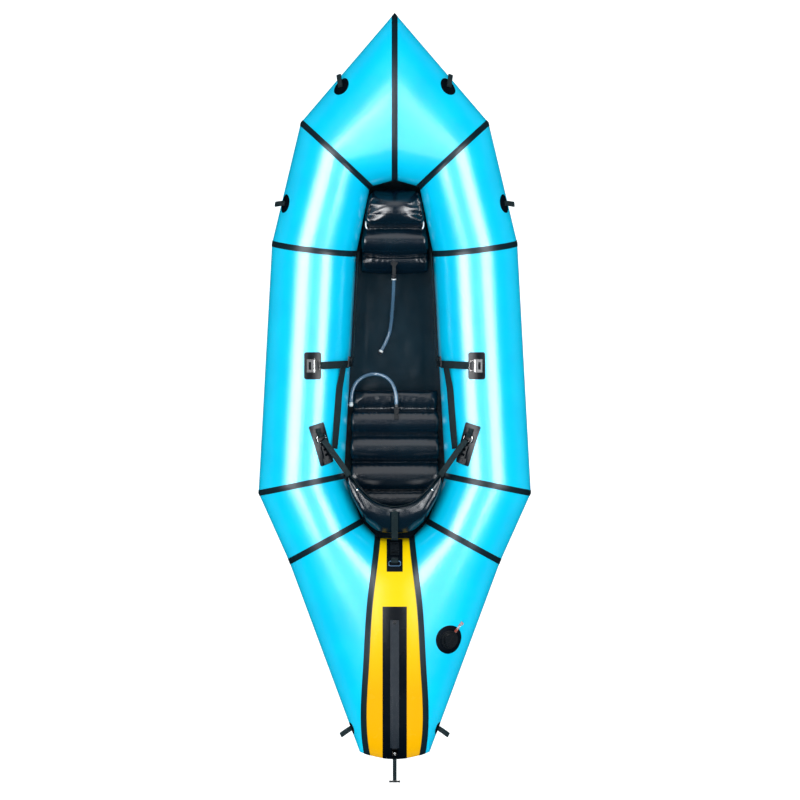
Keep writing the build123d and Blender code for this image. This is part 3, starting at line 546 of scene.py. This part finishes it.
def weld_line(bm, tree, points, width):
    """A flat welded bead that lies on a surface along plan points in metres."""
    path = []
    for a, b in zip(points, points[1:]):
        steps = max(2, int((b - a).length / WELD_STEP))
        path += [a.lerp(b, k / steps) for k in range(steps)]
    path.append(points[-1])
    found = [drop(tree, p.x, p.y) for p in path]
    found = [(h, n) for h, n in found if h]
    if len(found) < 3:
        return
    lifted = [hit / MM + normal * WELD_LIFT for hit, normal in found]
    strap(bm, lifted, [normal for _, normal in found], width, WELD_THICKNESS, steps=1)


def cross_weld(bm, tree, y, half, width):
    """A weld straight across a cushion."""
    weld_line(bm, tree, [Vector((-half, y, 0)), Vector((half, y, 0))], width)


def finish_cushion(piece, mesh, cad, body):
    """Gives a cushion its fabric and its body, in place of its CAD cushion."""
    mesh.materials.clear()
    mesh.materials.append(cushion_mat)
    mesh.shade_smooth()
    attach(piece, body)
    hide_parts(cad)


# seat: a thin front lip and three rolls, with a low rear roll under the backrest
# (each channel is its place along the boat and its half length across)
SEAT_CHANNELS = ((-0.081, 0.150), (-0.167, 0.152), (-0.259, 0.152), (-0.358, 0.140))
LIP_START = -0.085
STEM_X, STEM_Y = 0.006, -0.066
seat, seat_mesh = inflate("seat_air", "seat_cushion", 0.003, 0.007, 4)
pinch(seat_mesh, SEAT_CHANNELS, 0.005, 0.006, 0.0022)
for vertex, up in upward(seat_mesh):
    x, y, z = vertex.co
    if y > LIP_START and up > 0.2:
        fold = ripple(3, x * 26 + y * 8) + 0.6 * ripple(5, (x - STEM_X) * 60 - y * 30)
        hollow = math.exp(-(((x - STEM_X) / 0.016) ** 2)) * math.exp(-(((y - STEM_Y) / 0.03) ** 2))
        vertex.co.z += 0.0015 * fold * min(1.0, (y - LIP_START) / 0.02)
        vertex.co.z -= 0.004 * hollow
finish_cushion(seat, seat_mesh, "seat_cushion", "hull")

# footbrace: a tall front chamber that steps down toward the paddler
BRACE_CHANNELS = ((0.540, 0.104), (0.444, 0.116))
CHAMBER_START, CHAMBER_MIDDLE, CHAMBER_HALF = 0.56, 0.62, 0.075
brace, brace_mesh = inflate("footbrace_air", "footbrace_cushion", 0.003, 0.007, 5)
pinch(brace_mesh, BRACE_CHANNELS, 0.005, 0.006, 0.0018)
for vertex, up in upward(brace_mesh):
    x, y, z = vertex.co
    if y > CHAMBER_START and up > 0.1:
        edge = min(1.0, abs(x) / 0.08)
        rays = math.sin(math.atan2(y - CHAMBER_MIDDLE, x) * 16 + 2 * ripple(2, x * 40))
        vertex.co.z += 0.0022 * edge ** 3 * rays * up
        vertex.co.z -= 0.018 * (x / CHAMBER_HALF) ** 2 * min(1.0, (y - CHAMBER_START) / 0.02) * up
finish_cushion(brace, brace_mesh, "footbrace_cushion", "hull")

# backrest: a curved pad between the tubes
back, back_mesh = inflate("backrest_air", "backrest_cushion", 0.002, 0.006, 14)
for vertex, up in upward(back_mesh):
    x, y, z = vertex.co
    if up > 0.1:
        vertex.co.z -= 0.0025 * math.exp(-((x / 0.016) ** 2)) * up
        vertex.co.z += 0.0014 * ripple(4, abs(x) * 34 + y * 10) * up
finish_cushion(back, back_mesh, "backrest_cushion", "backrest")

WELD_INSET = 0.012
seat_tree, brace_tree, back_tree = surface_tree(seat_mesh), surface_tree(brace_mesh), surface_tree(back_mesh)
bm = bmesh.new()
for channel, half in SEAT_CHANNELS:
    cross_weld(bm, seat_tree, channel, half - WELD_INSET, 3.0)
for side in (-1, 1):
    beside_stem = [Vector((side * 0.006 + STEM_X, -0.012, 0)), Vector((side * 0.012 + STEM_X, -0.07, 0))]
    weld_line(bm, seat_tree, beside_stem, 2.0)
cross_weld(bm, seat_tree, -0.016, 0.138, 3.0)
add_object("seat_welds", finished_mesh(bm, "seat_welds", cushion_mat), "hull", "cushion_black")
bm = bmesh.new()
for channel, half in BRACE_CHANNELS:
    cross_weld(bm, brace_tree, channel, half - WELD_INSET, 3.0)
cross_weld(bm, brace_tree, 0.592, 0.062, 2.4)
add_object("footbrace_welds", finished_mesh(bm, "footbrace_welds", cushion_mat), "hull", "cushion_black")
bm = bmesh.new()
half_edge = ((141, -325), (108, -367), (60, -408))
front_edge = [(-x, y) for x, y in half_edge] + [(0, -422), *reversed(half_edge)]
weld_line(bm, back_tree, smooth_path([Vector((x, y, 0)) * MM for x, y in front_edge], 3), 2.2)
add_object("backrest_welds", finished_mesh(bm, "backrest_welds", webbing_mat), "backrest", "cushion_black")

# press studs on the backrest's wings and pale white curved tabs at the footbrace's sides
bm = bmesh.new()
for side in (-1, 1):
    hit, normal = drop(back_tree, side * 0.127, -0.351)
    lathe(bm, ((5.2, -1.0), (5.2, 0.5), (4.6, 1.1), (3.4, 1.3), (3.0, 2.2), (1.6, 2.9), (0.2, 3.1)),
          place(hit / MM, (1, 0, 0), normal), 24)
add_object("backrest_studs", finished_mesh(bm, "backrest_studs", wire_mat), "backrest", "wire_metal")
bm = bmesh.new()
for side in (-1, 1):
    hit, normal = drop(brace_tree, side * 0.094, 0.548)
    frame_at = place(hit / MM + Vector((0, 0, 0.4)), (0, 1, 0), (side * 0.45, 0, 0.9))
    bend = [(14 * math.cos(t), -side * (5 * math.sin(t) - 2), 1.6 + 1.5 * math.sin(t))
            for t in [math.pi * k / 10 for k in range(11)]]
    strap(bm, bend, [(0, 0, 1)] * len(bend), 4.4, 2.4, 2, frame_at)
add_object("footbrace_white_tabs", finished_mesh(bm, "footbrace_white_tabs", white_mat), "hull", "mouthpiece_white")

# ---- floor sheet: pressed up slightly between the tubes, with soft creases ------------------------
# (at places along the boat: the floor's rise above the ground, and its half width)
FLOOR_RISE = ((-0.900, 0.0225), (-0.527, 0.0142), (-0.334, 0.0), (0.468, 0.0), (0.784, 0.0435),
              (0.900, 0.066))
FLOOR_HALF = ((-0.874, 0.062), (-0.756, 0.104), (-0.525, 0.228), (-0.334, 0.306), (0.466, 0.262),
              (0.778, 0.186), (0.858, 0.066), (0.884, 0.004))
FLOOR_AFT, FLOOR_FORE = FLOOR_HALF[0][0], FLOOR_HALF[-1][0]
FLOOR_ROWS, FLOOR_COLUMNS = 150, 48
FLOOR_TOP, FLOOR_UNDER = 0.0021, 0.0001  # above the hull's rise
# the part that swells, and how far its edges blend
OPEN_HALF, OPEN_AFT, OPEN_FORE, OPEN_BLEND = 0.125, -0.32, 0.42, 0.1


def floor_height(x, y):
    """The floor's top: taut at its ends and sides, swelling and creased toward the middle."""
    inside = max(0.0, 1 - (abs(x) / OPEN_HALF) ** 4)
    inside *= max(0.0, min(1.0, (y - OPEN_AFT) / OPEN_BLEND, (OPEN_FORE - y) / OPEN_BLEND))
    swell = 0.003 * noise.noise(Vector((x * 9, y * 5, 2.0)))
    swell += 0.0014 * noise.noise(Vector((x * 26, y * 14, 6.0)))
    crease = 0.0035 * math.exp(-(((y - 0.004 + 0.05 * abs(x)) / 0.006) ** 2))
    crease += 0.0024 * math.exp(-(((y - 0.03 - 0.1 * abs(x)) / 0.008) ** 2))
    return interpolate(FLOOR_RISE, y) + FLOOR_TOP + inside * (0.003 + swell + crease)


bm = bmesh.new()
grid = []
for row in range(FLOOR_ROWS + 1):
    y = FLOOR_AFT + (FLOOR_FORE - FLOOR_AFT) * row / FLOOR_ROWS
    half_width = interpolate(FLOOR_HALF, y)
    across = [(2 * column / FLOOR_COLUMNS - 1) * half_width for column in range(FLOOR_COLUMNS + 1)]
    grid.append([bm.verts.new((x, y, floor_height(x, y))) for x in across])
for low, high in zip(grid, grid[1:]):
    for k in range(FLOOR_COLUMNS):
        bm.faces.new((low[k], low[k + 1], high[k + 1], high[k]))
for element in bmesh.ops.extrude_face_region(bm, geom=bm.faces[:])["geom"]:
    if isinstance(element, bmesh.types.BMVert):
        element.co.z = interpolate(FLOOR_RISE, element.co.y) + FLOOR_UNDER
add_object("floor_soft", finished_mesh(bm, "floor_soft", floor_mat), "hull", "floor_black", "floor_sheet")

# ---- straps -------------------------------------------------------------------------------------
TUBE_AXIS_Z = 148.3
SIDE_FORE_X, SIDE_FORE_Y = 273, 468
SIDE_LENGTH, SIDE_FLARE = 802, 44  # the side tube's axis runs outward by the flare over its length
STRAP_RADIUS = 153.7
STRAP_T = 2.2
STITCH_LIFT = 1.3


def sewn(bm, name, body, replaced, mirrored=True):
    """Makes one piece of the webbing in a working mesh, with its thread."""
    if mirrored:
        mirror_copy(bm)
    mesh = finished_mesh(bm, name, webbing_mat, thread_mat)
    return add_object(name, mesh, body, "webbing_black", replaced)


def side_point(y, lean, radius):
    """A point round the starboard side tube and its outward direction."""
    axis_x = SIDE_FORE_X + (SIDE_FORE_Y - y) * SIDE_FLARE / SIDE_LENGTH
    across = Vector((-math.cos(math.radians(3.14)), 0.0548, 0))
    out = across * math.sin(math.radians(lean)) + Vector((0, 0, 1)) * math.cos(math.radians(lean))
    return Vector((axis_x, y, TUBE_AXIS_Z)) + out * radius, out


bm = bmesh.new()
RELEASE_Y = 66
bent = [side_point(RELEASE_Y, lean, STRAP_RADIUS + 0.5 * math.sin(lean * 0.4))
        for lean in (17, 24, 31, 38, 45, 52, 58, 64)]
strap(bm, [p for p, _ in bent], [n for _, n in bent], 25, STRAP_T, 6)
stitched, out = side_point(RELEASE_Y, 24, STRAP_RADIUS)
box_stitch(bm, stitched * MM, Vector((1, 0, -0.3)), out, 12, 19, STITCH_LIFT)
sewn(bm, "release_webbing", "hull", "release_straps")

bm = bmesh.new()
lean_out = Vector((-0.72, 0, 0.69))
strap(bm, [(174, 62, 247), (181, 24, 249), (187.5, -14, 249.5), (193, -86, 251), (198.5, -156, 255),
           (203, -212, 259.5)],
      [lean_out, (-0.62, 0, 0.78), (-0.5, 0, 0.87), (-0.45, 0, 0.89), (-0.55, 0, 0.83), lean_out],
      25, STRAP_T)
for stitched in ((185, 14, 249.2), (201.6, -192, 258)):
    box_stitch(bm, Vector(stitched) * MM, Vector((0.05, -1, 0)), lean_out, 22, 15, STITCH_LIFT)
sewn(bm, "thigh_strap_webbing", "hull", "thigh_straps")

bm = bmesh.new()
strap(bm, [(140, 86, 190), (137, 150, 188), (133, 230, 185.5), (130.5, 310, 185), (127, 390, 184.5),
           (124, 452, 184)],
      [(-1, 0, 0.1), (-1, 0, -0.1), (-1, 0, 0.15), (-1, 0, 0.0), (-1, 0, -0.12), (-1, 0, 0)], 20, STRAP_T)
for stitched in ((139.2, 104, 189.4), (124.8, 434, 184)):
    box_stitch(bm, Vector(stitched) * MM, Vector((0.04, -1, 0)), Vector((-1, 0, 0)), 20, 14, STITCH_LIFT)
sewn(bm, "thigh_front_webbing", "hull", "thigh_webbing")

bm = bmesh.new()
strap(bm, [(241, -183, 287.5), (231, -196, 290), (218, -213, 290.5), (195, -245, 288), (168, -283, 286),
           (154, -303, 280)],
      [(-0.4, -0.1, 1), (-0.3, 0, 1), (-0.15, 0.05, 1), (0.0, 0, 1), (-0.05, 0, 1), (0.1, 0.2, 1)],
      20, STRAP_T)
box_stitch(bm, Vector((176, -271, 286.2)) * MM, Vector((54, 79, 0)), Vector((-0.05, 0, 1)), 18, 14,
           STITCH_LIFT)
side_straps = sewn(bm, "backrest_side_webbing", None, "backrest_side_straps")
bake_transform(side_straps)

bm = bmesh.new()
strap(bm, [(0, -424, 297), (0, -450, 283.6), (0, -486, 263.6), (0, -522, 243)],
      [(0, -0.45, 0.89), (0, -0.48, 0.88), (0, -0.48, 0.88), (0, -0.5, 0.87)], 23, STRAP_T)
for stitched, length in (((0, -438, 290), 20), ((0, -506, 252.3), 14)):
    box_stitch(bm, Vector(stitched) * MM, Vector((0, 1, -0.55)), Vector((0, -0.48, 0.88)), length, 16,
               STITCH_LIFT)
sewn(bm, "backrest_centre_webbing", "backrest", "backrest_strap", mirrored=False)

bm = bmesh.new()
BAND_LEVEL, BAND_GAP = 268, 2.6
half_band = ((155, -298), (137, -322), (113, -352.5), (62, -395.5))
half_facing = ((0.82, 0.57), (0.82, 0.57), (0.72, 0.69), (0.45, 0.89))
band = [*((-x, y) for x, y in half_band), (0, -410.5), *reversed(half_band)]
facing = [*half_facing, (0, 1), *((-x, y) for x, y in reversed(half_facing))]
strap(bm, [(x, y + BAND_GAP, BAND_LEVEL + 1.2 * math.sin(k * 1.7)) for k, (x, y) in enumerate(band)],
      [(x, y, 0.05) for x, y in facing], 20, 2.0, 6)
sewn(bm, "backrest_band_webbing", "backrest", "backrest_band", mirrored=False)

# ---- webbing loops: tie-downs round the hull, and the keepers of the three rings -----------------
# (each fitting's place on the hull, its x and z directions, and how far the loop leans off its patch)
TIE_FITS = (((181.0, 1013.0, 289.54), (-0.11213, 0.84277, -0.52646), (0.63733, 0.46747, 0.6126), 20),
            ((372.0, 618.0, 221.19), (0.40956, -0.14126, -0.90128), (0.90663, 0.17279, 0.38491), 20),
            ((146.0, -1160.0, 195.64), (0.00597, -0.51669, -0.85615), (0.9182, -0.33627, 0.20934), 60))
TIE_LOOP = ((-5, -1.9), (10, -1.95), (22, -2.1), (33, -2.3), (38.4, -1.6), (39.2, 0), (38.4, 1.6), (33, 2.3),
            (22, 2.1), (10, 1.95), (-5, 1.9))
TIE_NORMALS = [(0, 0, -1)] * 4 + [(0.9, 0, -0.5), (1, 0, 0), (0.9, 0, 0.5)] + [(0, 0, 1)] * 4
TIE_RISE = 6


def directions(matrix):
    """A fitting frame's x and z directions."""
    return matrix.to_3x3() @ Vector((1, 0, 0)), matrix.to_3x3() @ Vector((0, 0, 1))


bm = bmesh.new()
for origin, x_dir, z_dir, lean in TIE_FITS:
    risen = place(origin, x_dir, z_dir) @ Matrix.Translation((0, 0, TIE_RISE * MM))
    matrix = risen @ Matrix.Rotation(math.radians(-lean), 4, "Y")
    strap(bm, [(x, 0.35 * math.sin(x / 9), z) for x, z in TIE_LOOP], TIE_NORMALS, 17, 1.8, 4, matrix)
    box_stitch(bm, matrix @ Vector((0.0085, 0, 0.0019)), *directions(matrix), 11, 12, 1.0)
sewn(bm, "tie_down_webbing", "hull", "tie_down_loops")


def keeper(bm, matrix, width, stitch_at, path):
    """A webbing loop sewn to its patch round a ring's straight bar."""
    faces = []
    for (x, z), before, after in zip(path, (path[0], *path), (*path[1:], path[-1])):
        run = Vector((after[0] - before[0], 0, after[1] - before[1]))
        faces.append(Vector((-run.z, 0, run.x)).normalized() * -1)
    strap(bm, [(x, 0, z) for x, z in path], faces, width, 1.5, 5, matrix)
    box_stitch(bm, matrix @ (Vector(stitch_at) * MM), *directions(matrix), 9, width - 6, 0.9)


ANCHOR_FIT = place((245.4, -197.4, 278.86), (0.26547, 0.95055, 0.1612), (-0.45373, -0.02435, 0.89081))
bm = bmesh.new()
keeper(bm, ANCHOR_FIT, 17, (50, 0, 3.9),
       ((56, 2.2), (46, 2.2), (36, 2.2), (29, 2.4), (25.4, 3.6), (24.4, 5.9), (25.8, 8.3), (29, 9.3),
        (33, 9.5), (37, 8.6), (40.4, 5.6), (44, 4.1), (50, 3.9), (56, 3.8)))
sewn(bm, "anchor_webbing", "hull", "anchor_keepers")
RING_FIT = place((0, -596, 279.3), (0, 0.8975, -0.44101), (0, 0.44101, 0.8975))
bm = bmesh.new()
keeper(bm, RING_FIT, 24, (10.8, 0, 4.1),
       ((12.6, 2.2), (6, 2.2), (0, 2.2), (-4, 2.5), (-6.3, 5.0), (-5.6, 8.2), (-2, 9.6), (2, 9.7),
        (5.6, 8.4), (8, 5.6), (9.8, 4.0), (12.6, 3.8)))
sewn(bm, "ring_webbing", "hull", "ring_keeper", mirrored=False)

# ---- zipper: coil teeth, top stop and the pull with its webbing tail --------------------------------
ZIPPER_START = -0.800
TEETH, TOOTH_PITCH, TOOTH_X = 170, 0.00246, 0.0022
TOOTH_BASE, TOOTH_CROWN = -0.0002, 0.0004
TOOTH_OUTLINE = ((-1.8, -0.8), (2.6, -0.5), (2.6, 0.5), (-1.8, 0.8))
track_tree = surface_tree(nodes["zipper_track"].data)
bm = bmesh.new()
for k in range(TEETH):
    for side in (-1, 1):
        hit, normal = drop(track_tree, side * TOOTH_X, ZIPPER_START - 0.004 - k * TOOTH_PITCH)
        if not hit:
            continue
        tooth = place(hit / MM, (side, 0, 0), normal)
        base, crown = ([bm.verts.new(tooth @ Vector((u * narrow * MM, v * short * MM, level)))
                        for u, v in TOOTH_OUTLINE]
                       for narrow, short, level in ((1, 1, TOOTH_BASE), (0.8, 0.6, TOOTH_CROWN)))
        for j in range(4):
            bm.faces.new((base[j], base[(j + 1) % 4], crown[(j + 1) % 4], crown[j]))
        bm.faces.new(crown)
for side in (-1, 1):
    for offset in (8.0, 13.4):
        line = [drop(track_tree, side * offset * MM, ZIPPER_START - 0.01 * k) for k in range(43)]
        line = [(h, n) for h, n in line if h]
        strap(bm, [h / MM for h, n in line], [n for _, n in line], 1.3, 0.7, 1)
add_object("zipper_teeth", finished_mesh(bm, "zipper_teeth", zipper_mat), "hull", "zipper_black")
bm = bmesh.new()
stop_at, stop_normal = drop(track_tree, 0, ZIPPER_START)
stop_frame = place(stop_at / MM, (1, 0, 0), stop_normal)
for y in (-3, 3):
    bridge = [(-6, y, 1.4), (-3, y * 0.7, 2.2), (3, y * 0.7, 2.2), (6, y, 1.4)]
    strap(bm, bridge, [(0, 0, 1)] * 4, 4.4, 1.8, 3, stop_frame)
strap(bm, [(0, -7, 1.0), (0, -3, 3.0), (0, 3, 3.0), (0, 7, 1.0)], [(0, 0, 1)] * 4, 3.6, 1.6, 3, stop_frame)
add_object("zipper_stop", finished_mesh(bm, "zipper_stop", plastic_mat), "hull", "plastic_black")

PULL_FIT = place((0, -1249.29, 238.32), (1, 0, 0), (0, -0.40674, 0.91355))
bm = bmesh.new()
for face, levels in ((1, (0.9, 1.1, 1.2, 1.1, 1.0)), (-1, (-0.9, -1.0, -0.8, -1.0, -1.0))):
    tail = [(0, y, z) for y, z in zip((-15, -30, -60, -84, -95), levels)]
    strap(bm, tail, [(0, 0, face)] * 5, 13, 1.5, 6, PULL_FIT)
up, ahead = PULL_FIT.to_3x3() @ Vector((0, 0, 1)), PULL_FIT.to_3x3() @ Vector((0, 1, 0))
for y in (-24, -84):
    box_stitch(bm, PULL_FIT @ Vector((0, y * MM, 0.0019)), ahead, up, 10, 9, 0.1)
sewn(bm, "zipper_pull_webbing", "zipper_pull", "zipper_pull", mirrored=False)
bm = bmesh.new()
BAR_Y = -100
bar_frame = PULL_FIT @ Matrix.Translation((0, BAR_Y * MM, 0)) @ Matrix.Rotation(math.pi / 2, 4, "Y")
lathe(bm, both_ways(((3.5, 7), (3.0, 8), (3.3, 14.6), (4.0, 15.8), (3.6, 17.4), (2.6, 18.6), (0.4, 19))),
      bar_frame, 28)
add_object("zipper_pull_bar", finished_mesh(bm, "zipper_pull_bar", plastic_mat), "zipper_pull",
           "plastic_black", "zipper_pull")
bm = bmesh.new()
loop_points = [(5.4 * math.sin(t), -9.0 + 8.6 * math.cos(t), 0.0)
               for t in [2 * math.pi * k / 24 for k in range(25)]]
strap(bm, loop_points, [(0, 0, 1)] * 25, 2.4, 2.2, 1, PULL_FIT)
pivot_frame = PULL_FIT @ Matrix.Rotation(math.pi / 2, 4, "Y")
lathe(bm, both_ways(((3.1, 1.4), (2.7, 2.8), (1.6, 3.2), (1.6, 8.4), (0.3, 8.6))), pivot_frame, 20)
add_object("zipper_pull_link", finished_mesh(bm, "zipper_pull_link", wire_mat), "zipper_pull", "wire_metal",
           "zipper_pull")

# ---- hoses --------------------------------------------------------------------------------------
HOSE_D = 0.012


def hose(name, replaced, route):
    """A round inflation hose: one smooth open spline through its route's control points."""
    curve = bpy.data.curves.new(name, "CURVE")
    curve.dimensions = "3D"
    curve.bevel_depth = HOSE_D / 2
    curve.bevel_resolution = 6
    curve.resolution_u = 16
    curve.use_fill_caps = True
    spline = curve.splines.new("NURBS")
    spline.points.add(len(route) - 1)
    for point, place_at in zip(spline.points, route):
        point.co = (*place_at, 1)
    spline.order_u = 3
    spline.use_endpoint_u = True
    curve.materials.append(hose_mat)
    piece = bpy.data.objects.new(name, curve)
    scene.collection.objects.link(piece)
    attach(piece, "hull")
    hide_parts(replaced)


SEAT_ROUTE = ((0.006, -0.0625, 0.113), (0.006, -0.015, 0.112), (-0.022, 0.030, 0.096), (-0.070, 0.045, 0.082),
              (-0.119, 0.028, 0.084), (-0.147, -0.014, 0.096), (-0.148, -0.056, 0.099))
BRACE_ROUTE = ((-0.003, 0.366, 0.098), (-0.004, 0.318, 0.087), (-0.008, 0.260, 0.046), (-0.013, 0.200, 0.014),
               (-0.025, 0.158, 0.0105), (-0.045, 0.122, 0.0105))


def hose_tip(body, route, parts):
    """Turned pieces beyond a hose's free end, on the hose's own axis."""
    end, before = Vector(route[-1]) / MM, Vector(route[-2]) / MM
    frame_at = place(end, (end - before).orthogonal(), end - before)
    made = []
    for name, profile, mat, slot in parts:
        tip = bmesh.new()
        lathe(tip, profile, frame_at, 32)
        made.append(add_object(name, finished_mesh(tip, name, mat), body, slot, body))
    return made


seat_tips = hose_tip("seat_mouthpiece", SEAT_ROUTE, (
    ("seat_tip_cap", ((6.3, 0), (6.3, 4.4), (7.2, 5.2), (7.4, 6.4), (7.4, 8.4), (6.8, 9.4), (6.3, 10.6),
                      (5.6, 12.8), (4.0, 13.8), (0.3, 14.0)), white_mat, "mouthpiece_white"),))
brace_tips = hose_tip("footbrace_mouthpiece", BRACE_ROUTE, (
    ("brace_tip_ring", ((6.3, 0), (6.4, 1.0), (7.3, 2.2), (7.4, 6.2), (6.4, 7.0), (0.3, 7.0)), white_mat,
     "mouthpiece_white"),
    ("brace_tip_valve", ((5.9, 7.0), (6.4, 7.6), (6.4, 11.2), (5.4, 12.4), (3.2, 13.0), (3.0, 14.0),
                         (0.3, 14.0)), plastic_mat, "plastic_black")))
bm = bmesh.new()
start, onward = Vector(BRACE_ROUTE[0]) / MM, Vector(BRACE_ROUTE[1]) / MM
lathe(bm, ((6.1, 1.0), (7.6, 1.4), (7.9, 2.4), (7.9, 4.0), (7.4, 4.8), (6.1, 5.0)),
      place(start, (onward - start).orthogonal(), onward - start), 32)
add_object("nozzle_collar", finished_mesh(bm, "nozzle_collar", white_mat), "hull", "mouthpiece_white")
hose("seat_hose_soft", "seat_hose", SEAT_ROUTE)
hose("brace_hose_soft", "footbrace_hose", BRACE_ROUTE)

# ---- which materials each reflected panel reaches -----------------------------------------------
def light_only(light, mats):
    """Lets a light reach only the pieces that have one of these materials."""
    receivers = bpy.data.collections.new(light.name + "_goods")
    for piece in scene.objects:
        if piece.type in {"MESH", "CURVE"} and any(m in mats for m in piece.data.materials):
            receivers.objects.link(piece)
    light.light_linking.receiver_collection = receivers


light_only(dim_panel, [hull_mat])
light_only(front_panel, [cushion_mat, floor_mat, webbing_mat, hose_mat, white_mat])
